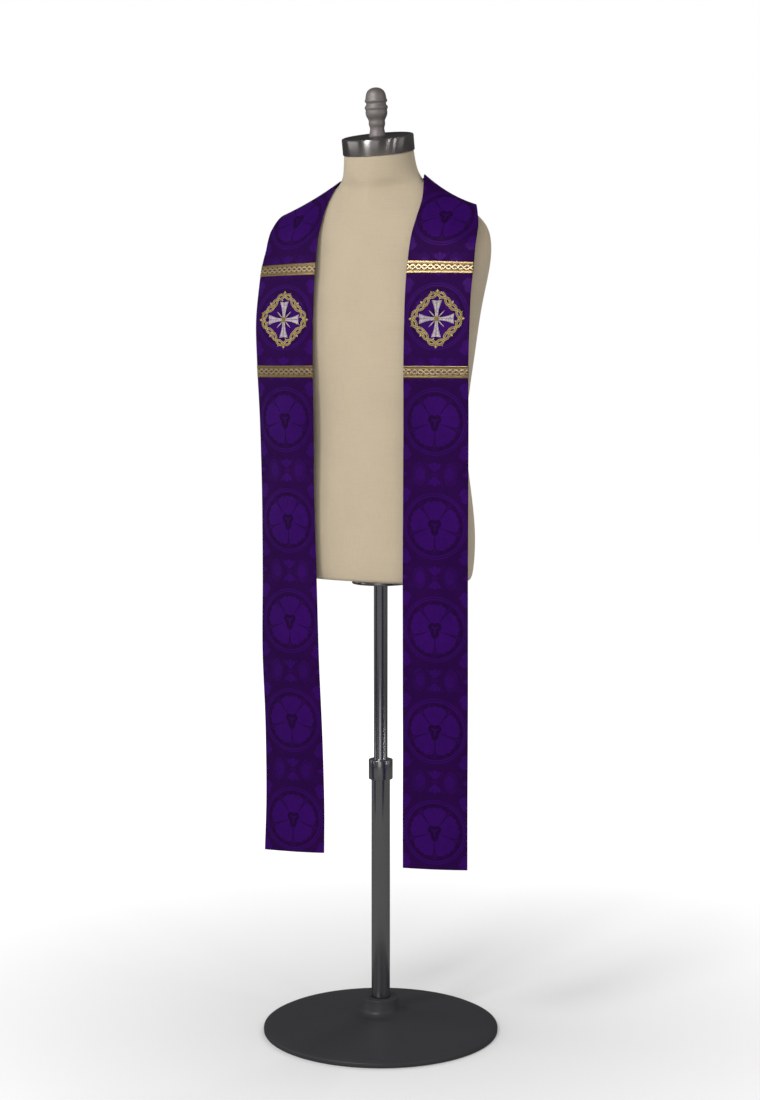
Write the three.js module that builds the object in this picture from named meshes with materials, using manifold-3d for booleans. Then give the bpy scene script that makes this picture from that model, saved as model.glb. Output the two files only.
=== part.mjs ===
// A clerical stole worn on a tailor's dress form, in millimetres, +Z up.
//
// The figure faces -Y, so the wearer's left is +X. The origin is on the floor under the pole.
// The stole is two halves of lined brocade, cut like a walking cane and joined by one seam at the
// centre of the nape. Each half lies round the neck, crosses the shoulder and hangs free from the
// chest. A front carries two woven galloon bands and a stitched emblem: a quatrefoil frame round a
// flared cross. The form is a smooth torso with a neck, a metal neck cap and a finial, on a pole
// with a weighted base.
import * as THREE from "three";
import { mergeVertices } from "three/addons/utils/BufferGeometryUtils.js";
import Module from "manifold-3d";

const wasm = await Module();
wasm.setup();

// ---------------------------------------------------------------- driving sizes

const SEAM_GAP = 0.3; // between pieces that are sewn together
const CLOTH = { width: 119, thickness: 1.8, step: 27, cellsAcross: 6 };
const BAND = { width: 22, thickness: 0.9 };
const EMBLEM = { height: 1305, thickness: 1.1, frameWidth: 7.5, lobeRadius: 25, lobeOffset: 21 };
const CROSS = { reach: 31, waist: 4, endHalfWidth: 9.5, dish: 3 };
const BASE = { radius: 216, rim: 8, dome: 34, hubRadius: 34, hubHeight: 62, socketDepth: 40 };
const POLE = { lowerRadius: 17, upperRadius: 12.5, collarRadius: 22, collarHeight: 36, split: 470 };
const FLANGE = { radius: 52, thickness: 6 };
const NECK_CAP = { radius: 64, height: 29, edge: 3 };

// Rows under named columns, as objects.
const table = (columns, rows) =>
  rows.map((row) => Object.fromEntries(columns.map((name, i) => [name, row[i]])));

// ---------------------------------------------------------------- tables

// Where the inner edge lies across the nape, which both halves share, and then how each half
// crosses its shoulder and hangs. Heading is the way the width runs (0 = outwards, 90 = backwards)
// and drop is how far that slopes down, both in degrees. Crown is how far the middle of the width
// stands off a straight line between the edges.
const NAPE = table(
  ["x", "y", "z", "heading", "drop", "width", "crown"],
  [
    [SEAM_GAP / 2, 70, 1549, 90, 66, 98, 2],
    [36, 61, 1552, 66, 57, 104, 2],
    [68, 35, 1555, 33, 42, 113, 0],
  ],
);
const FRONT_COLUMNS = ["x", "y", "z", "heading", "drop", "crown"];
const FRONTS = {
  left: table(FRONT_COLUMNS, [
    [83, 2, 1556, -6, 28, -6],
    [93, -27, 1515, -4, 23, -1],
    [92, -49, 1481, 0, 17, 2],
    [90, -66, 1450, 4, 10, 3],
    [89, -80, 1405, 8, 2, 2],
    [88, -88, 1350, 6, 0, 1],
    [88, -92, 1300, 5, 0, 0],
    [88, -95, 1224, 4, 0, 1],
    [88, -95, 1128, 5, 0, 3],
    [87, -94, 1000, 6, 0, 3],
    [85, -91, 850, 7, 0, 2],
    [84, -88, 700, 8, 0, 3],
    [83, -85, 560, 8, -1, 2],
    [82, -83, 430, 8, -2, 2],
    [82, -82, 331, 8, -2, 3],
  ]),
  right: table(FRONT_COLUMNS, [
    [82, 2, 1549, -6, 28, -3],
    [92, -27, 1511, -4, 23, 0],
    [92, -49, 1479, 4, 17, 3],
    [91, -66, 1450, 10, 10, 3],
    [89, -80, 1405, 9, 2, 2],
    [89, -88, 1350, 6, 0, 1],
    [89, -92, 1300, 4, 0, 0],
    [88, -95, 1224, 6, 0, 2],
    [87, -95, 1128, 9, 0, 5],
    [87, -94, 1000, 11, 0, 4],
    [84, -91, 850, 8, 0, 2],
    [81, -88, 700, 4, 0, 4],
    [76, -86, 560, 3, 1, 3],
    [73, -84, 430, 0, 2, 2],
    [74, -83, 342, -3, 2, 4],
  ]),
};
const BAND_TOPS = { upper: 1405, lower: 1224 }; // heights of the bands' upper edges

// The form's sections, up to the cut top of its neck. Front and back are depths each side of y,
// tilt is how far a section leans forward, in degrees, and the two powers shape the halves of its
// outline: 2 is an ellipse, more is squarer and less is more pointed.
const TORSO = table(
  ["z", "tilt", "y", "halfWidth", "front", "back", "frontPower", "backPower"],
  [
    [836, 0, 8, 160, 84, 102, 2.3, 2.3],
    [842, 0, 8, 168, 91, 109, 2.3, 2.3],
    [880, 0, 8, 172, 94, 114, 2.3, 2.3],
    [930, 0, 8, 173, 96, 114, 2.3, 2.3],
    [990, 0, 7, 167, 95, 106, 2.3, 2.3],
    [1050, 0, 6, 159, 93, 98, 2.3, 2.3],
    [1110, 0, 6, 155, 92, 94, 2.3, 2.3],
    [1170, 0, 6, 161, 94, 100, 2.3, 2.3],
    [1230, 0, 6, 170, 97, 107, 2.3, 2.3],
    [1280, 0, 6, 176, 98, 110, 2.3, 2.4],
    [1325, 0, 6, 183, 95, 111, 2.2, 2.4],
    [1365, 0, 6, 194, 90, 109, 2.1, 2.3],
    [1400, 0, 6, 203, 84, 107, 1.9, 2.2],
    [1430, 0, 6, 207, 79, 103, 1.75, 2.1],
    [1455, 0, 5, 205, 74, 99, 1.6, 2.0],
    [1470, 0, 5, 198, 71, 95, 1.4, 1.9],
    [1483, 0, 4, 187, 67, 91, 1.3, 1.85],
    [1495, 0, 4, 171, 64, 86, 1.2, 1.8],
    [1507, 0, 4, 151, 61, 81, 1.15, 1.75],
    [1519, 0, 3, 129, 59, 76, 1.1, 1.7],
    [1531, 1, 3, 105, 57, 71, 1.15, 1.7],
    [1542, 3, 2, 85, 59, 65, 1.3, 1.75],
    [1553, 6, 0, 76, 61, 61, 1.6, 1.9],
    [1568, 9, -3, 66, 61, 60, 2, 2],
    [1599, 12, -8, 62, 62, 62, 2, 2],
  ],
);
const TORSO_SIDES = 40;

// The finial's outline above the neck cap: a stem, two rings and a round head.
const FINIAL = table(
  ["height", "radius"],
  [
    [3, 14.6],
    [8, 13.3],
    [13, 12.6],
    [17, 13.6],
    [21, 14.6],
    [26, 14.4],
    [30, 15.8],
    [36, 19],
    [42, 19.4],
    [45, 18.8],
    [49, 20.8],
    [54, 17.7],
    [57, 17.6],
    [60.5, 20],
    [65, 19],
    [69, 17.2],
    [75, 15.8],
    [79.5, 13],
    [82.5, 7.5],
  ],
);
const FINIAL_FOOT = { radius: 15.6, sunk: 5 }; // cut off level with the cap
const FINIAL_TIP = 84;
const FINIAL_UPRIGHT = 6; // degrees by which it leans less than the neck does

// ---------------------------------------------------------------- shared helpers

// A closed mesh as a manifold-3d solid, for cutting and joining.
function solidOf(geometry) {
  const bare = new THREE.BufferGeometry();
  const flat = geometry.index ? geometry.toNonIndexed() : geometry;
  bare.setAttribute("position", flat.getAttribute("position"));
  const merged = mergeVertices(bare, 1e-3);
  const vertProperties = merged.attributes.position.array;
  const triVerts = new Uint32Array(merged.index.array);
  return new wasm.Manifold(new wasm.Mesh({ numProp: 3, vertProperties, triVerts }));
}

// A manifold-3d solid as a geometry again.
function geometryOf(solid) {
  const { vertProperties, triVerts, numVert, numProp } = solid.getMesh();
  const positions = new Float32Array(numVert * 3);
  for (let i = 0; i < numVert; i++) {
    positions.set(vertProperties.subarray(i * numProp, i * numProp + 3), i * 3);
  }
  const geometry = new THREE.BufferGeometry();
  geometry.setAttribute("position", new THREE.BufferAttribute(positions, 3));
  geometry.setIndex(new THREE.BufferAttribute(triVerts, 1));
  geometry.computeVertexNormals();
  return geometry;
}

// Joins stacked loops of points into one closed skin, with a ladder of faces over each end. A
// loop's second half runs back along its first, so its faces are split the same way across.
function skin(loops) {
  const count = loops[0].length;
  const faces = [];
  for (let i = 0; i < loops.length - 1; i++) {
    const [here, next] = [i * count, (i + 1) * count];
    for (let j = 0; j < count; j++) {
      const k = (j + 1) % count;
      if (j < count / 2) faces.push(here + j, here + k, next + k, here + j, next + k, next + j);
      else faces.push(here + j, here + k, next + j, here + k, next + k, next + j);
    }
  }
  const lastLoop = (loops.length - 1) * count;
  for (let j = 0; j < count / 2 - 1; j++) {
    const [a, b, c, d] = [j, j + 1, count - 2 - j, count - 1 - j];
    faces.push(a, c, b, a, d, c);
    faces.push(lastLoop + a, lastLoop + b, lastLoop + c, lastLoop + a, lastLoop + c, lastLoop + d);
  }
  const geometry = new THREE.BufferGeometry().setFromPoints(loops.flat());
  geometry.setIndex(faces);
  geometry.computeVertexNormals();
  return geometry;
}

// A turned piece about +Z, from rows of [radius, height].
function turned(rows, segments) {
  const profile = rows.map(([radius, height]) => new THREE.Vector2(radius, height));
  return new THREE.LatheGeometry(profile, segments).rotateX(Math.PI / 2);
}

// ---------------------------------------------------------------- the cloth

// One half of the stole as a surface: at(t, v) gives a point and its outward normal, t running
// from the centre back to the hem and v from the inner edge to the outer one, both 0 to 1.
class ClothHalf {
  constructor(side) {
    this.mirror = side === "left" ? 1 : -1;
    this.sections = [...NAPE, ...FRONTS[side].map((row) => ({ ...row, width: CLOTH.width }))];
    const edge = this.sections.map((row) => this.edges(row));
    const smooth = (points) => new THREE.CatmullRomCurve3(points, false, "centripetal");
    this.inner = smooth(edge.map((pair) => pair[0]));
    this.outer = smooth(edge.map((pair) => pair[1]));
    this.stations = this.spaceStations();
  }

  // The two ends of a section's width.
  edges({ x, y, z, heading, drop, width }) {
    const turn = THREE.MathUtils.degToRad(heading);
    const fall = THREE.MathUtils.degToRad(drop);
    const level = width * Math.cos(fall);
    const inner = new THREE.Vector3(x, y, z);
    const run = new THREE.Vector3(Math.cos(turn) * level, Math.sin(turn) * level, 0);
    run.z = -width * Math.sin(fall);
    return [inner, inner.clone().add(run)];
  }

  // Values of t about one step of cloth apart, with one on every edge of a band.
  spaceStations() {
    const gaps = this.sections.length - 1;
    const marks = [0, 1];
    for (let i = 1; i < gaps; i++) marks.push(i / gaps);
    for (const top of Object.values(BAND_TOPS)) {
      marks.push(this.tAtHeight(top), this.tAtHeight(top - BAND.width));
    }
    marks.sort((a, b) => a - b);
    const stations = [0];
    for (let i = 1; i < marks.length; i++) {
      const from = marks[i - 1];
      const length = this.outer.getPoint(marks[i]).distanceTo(this.outer.getPoint(from));
      const steps = Math.ceil(length / CLOTH.step);
      for (let k = 1; k <= steps; k++) stations.push(from + ((marks[i] - from) * k) / steps);
    }
    return stations.filter((t, i) => i === 0 || t - stations[i - 1] > 1e-6);
  }

  // The t at which the hanging inner edge passes a height.
  tAtHeight(height) {
    let [low, high] = [(NAPE.length - 1) / (this.sections.length - 1), 1];
    for (let i = 0; i < 40; i++) {
      const middle = (low + high) / 2;
      if (this.inner.getPoint(middle).z > height) low = middle;
      else high = middle;
    }
    return (low + high) / 2;
  }

  crownAt(t) {
    const place = t * (this.sections.length - 1);
    const i = Math.min(Math.floor(place), this.sections.length - 2);
    const share = THREE.MathUtils.smoothstep(place - i, 0, 1);
    return THREE.MathUtils.lerp(this.sections[i].crown, this.sections[i + 1].crown, share);
  }

  at(t, v) {
    const inner = this.inner.getPoint(t);
    const outer = this.outer.getPoint(t);
    const place = (s) => this.inner.getPoint(s).lerp(this.outer.getPoint(s), v);
    const along = place(Math.min(t + 1e-3, 1)).sub(place(Math.max(t - 1e-3, 0)));
    if (t === 0) along.set(1, 0, 0); // the halves mirror each other at the centre back
    const normal = outer.clone().sub(inner).cross(along).normalize().negate();
    const point = inner.lerp(outer, v).addScaledVector(normal, this.crownAt(t) * 4 * v * (1 - v));
    point.x *= this.mirror;
    normal.x *= this.mirror;
    return { point, normal };
  }

  // A closed wall on the surface, between two distances out from it, over these stations.
  wall(stations, near, far) {
    const cells = CLOTH.cellsAcross;
    const loops = stations.map((t) => {
      const row = Array.from({ length: cells + 1 }, (_, j) => this.at(t, j / cells));
      const out = row.map(({ point, normal }) => point.clone().addScaledVector(normal, far));
      const back = row.map(({ point, normal }) => point.clone().addScaledVector(normal, near));
      const loop = [...out, ...back.reverse()];
      return this.mirror > 0 ? loop.reverse() : loop;
    });
    return skin(loops);
  }

  // The stations from one height of the hanging inner edge down to another.
  between(high, low) {
    const [from, to] = [this.tAtHeight(high), this.tAtHeight(low)];
    return this.stations.filter((t) => t > from - 1e-6 && t < to + 1e-6);
  }

  // A frame on the cloth's middle at a height: x across, y up the cloth and z out of it.
  frameAt(height, lift) {
    const t = this.tAtHeight(height);
    const { point, normal } = this.at(t, 0.5);
    const up = this.at(t - 1e-3, 0.5).point.sub(point).normalize();
    const across = up.clone().cross(normal).normalize();
    const frame = new THREE.Matrix4().makeBasis(across, normal.clone().cross(across), normal);
    return frame.setPosition(point.addScaledVector(normal, lift));
  }
}

// ---------------------------------------------------------------- the stole's trimmings

// A quatrefoil of four round lobes.
function quatrefoil(radius, offset, holder) {
  // each lobe's arc runs between the points where it meets its neighbours
  const meet = Math.acos(offset / Math.SQRT2 / radius);
  for (let i = 0; i < 4; i++) {
    const way = (i * Math.PI) / 2;
    const open = (3 * Math.PI) / 4 - meet;
    const [x, y] = [Math.cos(way) * offset, Math.sin(way) * offset];
    holder.absarc(x, y, radius, way - open, way + open, false);
  }
  return holder;
}

function emblemFrameShape() {
  const { lobeRadius, lobeOffset, frameWidth } = EMBLEM;
  const shape = quatrefoil(lobeRadius, lobeOffset, new THREE.Shape());
  shape.holes.push(quatrefoil(lobeRadius - frameWidth, lobeOffset, new THREE.Path()));
  return shape;
}

// A cross of four equal arms that widen to slightly hollowed ends.
function emblemCrossShape() {
  const { reach, waist, endHalfWidth, dish } = CROSS;
  const arm = [
    [waist, waist],
    [reach, endHalfWidth],
    [reach - dish, 0],
    [reach, -endHalfWidth],
  ];
  const shape = new THREE.Shape();
  const points = [0, 1, 2, 3].flatMap((quarter) =>
    arm
      .slice()
      .reverse()
      .map(([x, y]) => new THREE.Vector2(x, y).rotateAround(new THREE.Vector2(), (quarter * Math.PI) / 2)),
  );
  shape.setFromPoints(points);
  return shape;
}

// A flat outline as a thin piece lying on the cloth: a wall made from the cloth's own points,
// trimmed to the outline.
function appliedPiece(half, shape, height, thickness) {
  const reach = 62;
  const depth = 40;
  const prism = new THREE.ExtrudeGeometry(shape, { depth, bevelEnabled: false, curveSegments: 7 });
  prism.translate(0, 0, -depth / 2);
  prism.applyMatrix4(half.frameAt(height, 0));
  const near = CLOTH.thickness + SEAM_GAP;
  const patch = half.wall(half.between(height + reach, height - reach), near, near + thickness);
  return geometryOf(solidOf(patch).intersect(solidOf(prism)));
}

// ---------------------------------------------------------------- the dress form

// One section of the torso as a loop of points.
function torsoLoop({ z, tilt, y, halfWidth, front, back, frontPower, backPower }) {
  const slope = Math.tan(THREE.MathUtils.degToRad(tilt));
  return Array.from({ length: TORSO_SIDES }, (_, i) => {
    const angle = (i / TORSO_SIDES) * 2 * Math.PI;
    const [c, s] = [Math.cos(angle), Math.sin(angle)];
    const power = s < 0 ? frontPower : backPower;
    const depth = s < 0 ? front : back;
    const x = Math.sign(c) * halfWidth * Math.abs(c) ** (2 / power);
    const backward = Math.sign(s) * depth * Math.abs(s) ** (2 / power);
    return new THREE.Vector3(x, y + backward, z + backward * slope);
  });
}

// Puts a piece that stands on the neck into place, lift above the neck's cut top.
function onNeck(geometry, lift) {
  const { z, tilt, y } = TORSO.at(-1);
  return geometry.translate(0, 0, lift).rotateX(THREE.MathUtils.degToRad(tilt)).translate(0, y, z);
}

function neckCap() {
  const { radius, height, edge } = NECK_CAP;
  const rows = [[0, 0], [radius, 0], [radius, height - edge], [radius - edge, height], [0, height]];
  return onNeck(turned(rows, 40), SEAM_GAP);
}

function finial() {
  const { radius, sunk } = FINIAL_FOOT;
  const rows = FINIAL.map(({ height, radius }) => [radius, height]);
  const whole = turned([[0, -sunk], [radius, -sunk], ...rows, [0, FINIAL_TIP]], 24);
  whole.rotateX(THREE.MathUtils.degToRad(-FINIAL_UPRIGHT));
  const below = turned([[0, -50], [50, -50], [50, 0], [0, 0]], 8);
  const cut = geometryOf(solidOf(whole).subtract(solidOf(below)));
  return onNeck(cut, NECK_CAP.height + 2 * SEAM_GAP);
}

function pole() {
  const { lowerRadius, upperRadius, collarRadius, collarHeight, split } = POLE;
  const foot = BASE.hubHeight - BASE.socketDepth + SEAM_GAP;
  const top = TORSO[0].z - SEAM_GAP;
  return turned(
    [
      [0, foot],
      [lowerRadius, foot],
      [lowerRadius, split],
      [collarRadius, split],
      [collarRadius, split + collarHeight],
      [upperRadius, split + collarHeight],
      [upperRadius, top - FLANGE.thickness],
      [FLANGE.radius, top - FLANGE.thickness],
      [FLANGE.radius, top],
      [0, top],
    ],
    28,
  );
}

function base() {
  const { radius, rim, dome, hubRadius, hubHeight, socketDepth } = BASE;
  const bore = POLE.lowerRadius + SEAM_GAP;
  const socketFloor = hubHeight - socketDepth;
  const outline = [[0, 0], [radius - 2, 0], [radius, 2], [radius, rim]];
  const steps = 7;
  for (let i = 1; i <= steps; i++) {
    const share = i / steps;
    outline.push([THREE.MathUtils.lerp(radius, hubRadius + 6, share), rim + (dome - rim) * share ** 0.6]);
  }
  outline.push([hubRadius, dome + 8], [hubRadius, hubHeight - 4], [hubRadius - 4, hubHeight]);
  outline.push([bore, hubHeight], [bore, socketFloor], [0, socketFloor]);
  return turned(outline, 48);
}

// ---------------------------------------------------------------- the model

const finish = (color, roughness, metalness) =>
  new THREE.MeshStandardMaterial({ color, roughness, metalness });
const BROCADE = finish(0x3a1263, 0.55, 0);
const GOLD_GALLOON = finish(0xb9975a, 0.35, 0.6);
const GOLD_THREAD = finish(0xc2a041, 0.4, 0.4);
const SILVER_THREAD = finish(0xa99fae, 0.4, 0.4);
const LINEN = finish(0xcbbaa0, 0.9, 0);
const CAP_STEEL = finish(0x8f8985, 0.25, 1);
const CAST_GREY = finish(0x77706e, 0.5, 0.5);
const POLE_STEEL = finish(0x9a9a9a, 0.3, 1);
const BASE_PAINT = finish(0x35353a, 0.6, 0.2);

const model = new THREE.Group();

function add(name, geometry, material, group = model) {
  const mesh = new THREE.Mesh(geometry, material);
  mesh.name = name;
  group.add(mesh);
}

function addHalf(side) {
  const half = new ClothHalf(side);
  const group = new THREE.Group();
  add(`stole_${side}`, half.wall(half.stations, 0, CLOTH.thickness), BROCADE, group);
  const near = CLOTH.thickness + SEAM_GAP;
  for (const [place, top] of Object.entries(BAND_TOPS)) {
    const stations = half.between(top, top - BAND.width);
    add(`band_${place}_${side}`, half.wall(stations, near, near + BAND.thickness), GOLD_GALLOON, group);
  }
  const piece = (shape) => appliedPiece(half, shape, EMBLEM.height, EMBLEM.thickness);
  add(`emblem_frame_${side}`, piece(emblemFrameShape()), GOLD_THREAD, group);
  add(`emblem_cross_${side}`, piece(emblemCrossShape()), SILVER_THREAD, group);
  model.add(group);
}

addHalf("left");
addHalf("right");
add("form_torso", skin(TORSO.map(torsoLoop)), LINEN);
add("form_neck_cap", neckCap(), CAP_STEEL);
add("form_finial", finial(), CAST_GREY);
add("form_pole", pole(), POLE_STEEL);
add("form_base", base(), BASE_PAINT);

export default model;
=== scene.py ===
"""A clerical stole worn on a tailor's dress form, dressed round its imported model.

The stole is two long halves of lined damask with woven galloon bands and stitched emblems. The form
is a linen torso with a steel neck cap, a cast finial, a pole and a round base.
"""

import bisect
import functools
import logging
import math
import random
from dataclasses import dataclass, field
from enum import Enum
from typing import Callable, Iterable, NamedTuple, Sequence, Union

import bmesh
import bpy
from mathutils import Matrix, Vector, noise


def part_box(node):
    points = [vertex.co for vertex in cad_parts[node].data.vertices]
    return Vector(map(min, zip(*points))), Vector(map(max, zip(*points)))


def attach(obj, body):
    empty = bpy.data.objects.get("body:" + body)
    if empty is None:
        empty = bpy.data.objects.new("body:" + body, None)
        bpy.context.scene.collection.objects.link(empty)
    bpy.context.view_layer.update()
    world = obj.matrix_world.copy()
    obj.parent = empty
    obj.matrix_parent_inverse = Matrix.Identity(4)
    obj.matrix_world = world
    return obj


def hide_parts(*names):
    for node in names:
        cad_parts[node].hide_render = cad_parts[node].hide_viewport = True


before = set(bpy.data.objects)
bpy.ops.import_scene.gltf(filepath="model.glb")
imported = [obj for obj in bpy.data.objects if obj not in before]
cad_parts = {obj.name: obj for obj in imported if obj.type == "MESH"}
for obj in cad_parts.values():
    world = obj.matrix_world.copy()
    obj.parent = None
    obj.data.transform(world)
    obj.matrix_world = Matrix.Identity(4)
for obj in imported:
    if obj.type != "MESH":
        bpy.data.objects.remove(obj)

LOG = logging.getLogger("stole")
MM = 0.001
Colour = tuple[float, float, float]


# ---------------------------------------------------------------- shader tools


class Field:
    """A number that changes over a surface, held in a socket, that takes Python's arithmetic."""

    def __init__(self, graph: "Graph", socket: bpy.types.NodeSocket) -> None:
        """Wraps a socket of a graph."""
        self.graph = graph
        self.socket = socket

    def __add__(self, other: "Number") -> "Field":
        """Adds a number."""
        return self.graph.math("ADD", self, other)

    def __sub__(self, other: "Number") -> "Field":
        """Takes a number away."""
        return self.graph.math("SUBTRACT", self, other)

    def __rsub__(self, other: "Number") -> "Field":
        """Takes this field away from a number."""
        return self.graph.math("SUBTRACT", other, self)

    def __mul__(self, other: "Number") -> "Field":
        """Multiplies by a number."""
        return self.graph.math("MULTIPLY", self, other)

    def __truediv__(self, other: "Number") -> "Field":
        """Divides by a number."""
        return self.graph.math("DIVIDE", self, other)

    def __abs__(self) -> "Field":
        """Drops the sign."""
        return self.graph.math("ABSOLUTE", self)

    __radd__ = __add__
    __rmul__ = __mul__


Number = Union[Field, float]


class Graph:
    """A node tree that is built by plain calls."""

    def __init__(self, tree: bpy.types.NodeTree) -> None:
        """Starts on a tree and empties it."""
        self.tree = tree
        tree.nodes.clear()

    def node(self, kind: str, **settings: object) -> bpy.types.Node:
        """Adds a node.

        Args:
            kind: The node's type name, without its ShaderNode prefix unless it has another.
            settings: Properties of the node to set.

        Returns:
            The new node.
        """
        added = self.tree.nodes.new(kind if kind.startswith("Node") else "ShaderNode" + kind)
        for name, value in settings.items():
            setattr(added, name, value)
        return added

    def feed(self, socket: bpy.types.NodeSocket, value: object) -> None:
        """Joins a field or socket to an input, or sets the input to a plain value."""
        if isinstance(value, Field):
            value = value.socket
        if isinstance(value, bpy.types.NodeSocket):
            self.tree.links.new(value, socket)
        else:
            socket.default_value = value

    def math(self, operation: str, *values: Number, clamp: bool = False) -> Field:
        """Adds one Math node and gives its result."""
        made = self.node("Math", operation=operation, use_clamp=clamp)
        for socket, value in zip(made.inputs, values):
            self.feed(socket, value)
        return Field(self, made.outputs[0])

    def least(self, *values: Number) -> Field:
        """Gives the least of several numbers."""
        return functools.reduce(lambda low, value: self.math("MINIMUM", low, value), values)

    def most(self, *values: Number) -> Field:
        """Gives the greatest of several numbers."""
        return functools.reduce(lambda high, value: self.math("MAXIMUM", high, value), values)

    def sine(self, angle: Number) -> Field:
        """Gives the sine of an angle in radians."""
        return self.math("SINE", angle)

    def cosine(self, angle: Number) -> Field:
        """Gives the cosine of an angle in radians."""
        return self.math("COSINE", angle)

    def inside(self, distance: Field, edge: float = 0.0, blur: float = 0.5) -> Field:
        """Gives a mask of where a distance is below an edge.

        Args:
            distance: The distance field.
            edge: The value at the middle of the mask's edge.
            blur: How wide the mask's edge is.

        Returns:
            A field that is 1 below the edge and 0 above it.
        """
        return self.math("MULTIPLY_ADD", distance, -1.0 / blur, edge / blur + 0.5, clamp=True)

    def line(self, distance: Field, middle: float, half_width: float, blur: float = 0.5) -> Field:
        """Gives a mask of a line where a distance is near a value."""
        return self.inside(abs(distance - middle), half_width, blur)

    def shifted(
        self,
        point: object,
        centre: Sequence[float],
        size: Sequence[float] = (1.0, 1.0),
        turn: float = 0.0,
    ) -> bpy.types.NodeSocket:
        """Gives a point as seen from a shape's own centre.

        Args:
            point: The vector to change.
            centre: The shape's centre.
            size: The shape's half sizes, which become 1.
            turn: The shape's turn in degrees, anticlockwise.

        Returns:
            The changed vector.
        """
        made = self.node("Mapping", vector_type="TEXTURE")
        self.feed(made.inputs["Vector"], point)
        made.inputs["Location"].default_value = (*centre, 0.0)
        made.inputs["Rotation"].default_value = (0.0, 0.0, math.radians(turn))
        made.inputs["Scale"].default_value = (*size, 1.0)
        return made.outputs[0]

    def oval(
        self, point: object, centre: Sequence[float], size: Sequence[float], turn: float = 0.0
    ) -> Field:
        """Gives about how far a point is outside an oval, in the units of the point."""
        measured = self.node("VectorMath", operation="LENGTH")
        self.feed(measured.inputs[0], self.shifted(point, centre, size, turn))
        return (Field(self, measured.outputs["Value"]) - 1.0) * min(size)

    def split(self, point: object) -> tuple[Field, Field, Field]:
        """Gives a vector's three parts."""
        made = self.node("SeparateXYZ")
        self.feed(made.inputs[0], point)
        return tuple(Field(self, made.outputs[i]) for i in range(3))

    def join(self, x: Number, y: Number, z: Number = 0.0) -> bpy.types.NodeSocket:
        """Gives a vector of three numbers."""
        made = self.node("CombineXYZ")
        for socket, value in zip(made.inputs, (x, y, z)):
            self.feed(socket, value)
        return made.outputs[0]

    def cloud(self, point: object, scale: float, detail: float = 2.0) -> Field:
        """Gives soft noise between 0 and 1."""
        made = self.node("TexNoise")
        self.feed(made.inputs["Vector"], point)
        made.inputs["Scale"].default_value = scale
        made.inputs["Detail"].default_value = detail
        return Field(self, made.outputs[0])

    def mixed(self, factor: Number, first: object, second: object) -> bpy.types.NodeSocket:
        """Gives a colour between two colours."""
        made = self.node("Mix", data_type="RGBA")
        self.feed(made.inputs[0], factor)
        for socket, value in ((made.inputs[6], first), (made.inputs[7], second)):
            self.feed(socket, (*value, 1.0) if isinstance(value, tuple) else value)
        return made.outputs[2]

    def between(self, factor: Number, first: Number, second: Number) -> Field:
        """Gives a number between two numbers."""
        made = self.node("Mix", data_type="FLOAT")
        for socket, value in zip(made.inputs[:1] + made.inputs[2:4], (factor, first, second)):
            self.feed(socket, value)
        return Field(self, made.outputs[0])

    def scaled(self, colour: object, amount: Number) -> bpy.types.NodeSocket:
        """Gives a colour made lighter or darker by a factor."""
        made = self.node("VectorMath", operation="SCALE")
        self.feed(made.inputs[0], colour)
        self.feed(made.inputs["Scale"], amount)
        return made.outputs[0]

    def bump(self, height: Field, distance: float, strength: float = 1.0) -> bpy.types.NodeSocket:
        """Gives the normal of a surface raised by a height field."""
        made = self.node("Bump")
        made.inputs["Strength"].default_value = strength
        made.inputs["Distance"].default_value = distance
        self.feed(made.inputs["Height"], height)
        return made.outputs[0]


@dataclass(frozen=True)
class Group:
    """A shader node group with named inputs and outputs, built once and placed in many materials."""

    name: str
    inputs: tuple[tuple[str, str], ...]
    outputs: tuple[tuple[str, str], ...]
    fill: Callable[[Graph, dict], dict]

    def tree(self) -> bpy.types.NodeTree:
        """Gives the group's tree, and builds it the first time."""
        if self.name in bpy.data.node_groups:
            return bpy.data.node_groups[self.name]
        tree = bpy.data.node_groups.new(self.name, "ShaderNodeTree")
        for in_out, sockets in (("INPUT", self.inputs), ("OUTPUT", self.outputs)):
            for name, kind in sockets:
                tree.interface.new_socket(name, in_out=in_out, socket_type="NodeSocket" + kind)
        graph = Graph(tree)
        entry = graph.node("NodeGroupInput")
        given = {
            name: Field(graph, entry.outputs[name]) if kind == "Float" else entry.outputs[name]
            for name, kind in self.inputs
        }
        leave = graph.node("NodeGroupOutput")
        for name, value in self.fill(graph, given).items():
            graph.feed(leave.inputs[name], value)
        return tree

    def placed(self, graph: Graph, **values: object) -> dict[str, object]:
        """Adds the group to a graph.

        Args:
            graph: The graph of the material that uses the group.
            values: What feeds each input, with an underscore for a space in its name.

        Returns:
            The group's outputs by name, with numbers as fields.
        """
        made = graph.node("Group", node_tree=self.tree())
        for name, value in values.items():
            graph.feed(made.inputs[name.replace("_", " ")], value)
        return {
            name: Field(graph, made.outputs[name]) if kind == "Float" else made.outputs[name]
            for name, kind in self.outputs
        }


def fill_weave(graph: Graph, given: dict) -> dict:
    """Fills the Weave group: plain crossing threads with slubs, in the units of its vector."""
    x, y, _ = graph.split(given["Vector"])
    turn = 2 * math.pi
    warp = graph.sine(x / given["Warp Pitch"] * turn)
    weft = graph.sine(y / given["Weft Pitch"] * turn)
    slub = graph.cloud(graph.join(x / given["Warp Pitch"], y / given["Weft Pitch"] * 0.08), 0.5)
    slub = slub + graph.cloud(graph.join(x / given["Warp Pitch"] * 0.08, y / given["Weft Pitch"]), 0.5)
    return {"Height": graph.most(warp, weft) * 0.5 + 0.5, "Slub": slub * 0.5}


WEAVE = Group(
    "Weave",
    (("Vector", "Vector"), ("Warp Pitch", "Float"), ("Weft Pitch", "Float")),
    (("Height", "Float"), ("Slub", "Float")),
    fill_weave,
)


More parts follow.
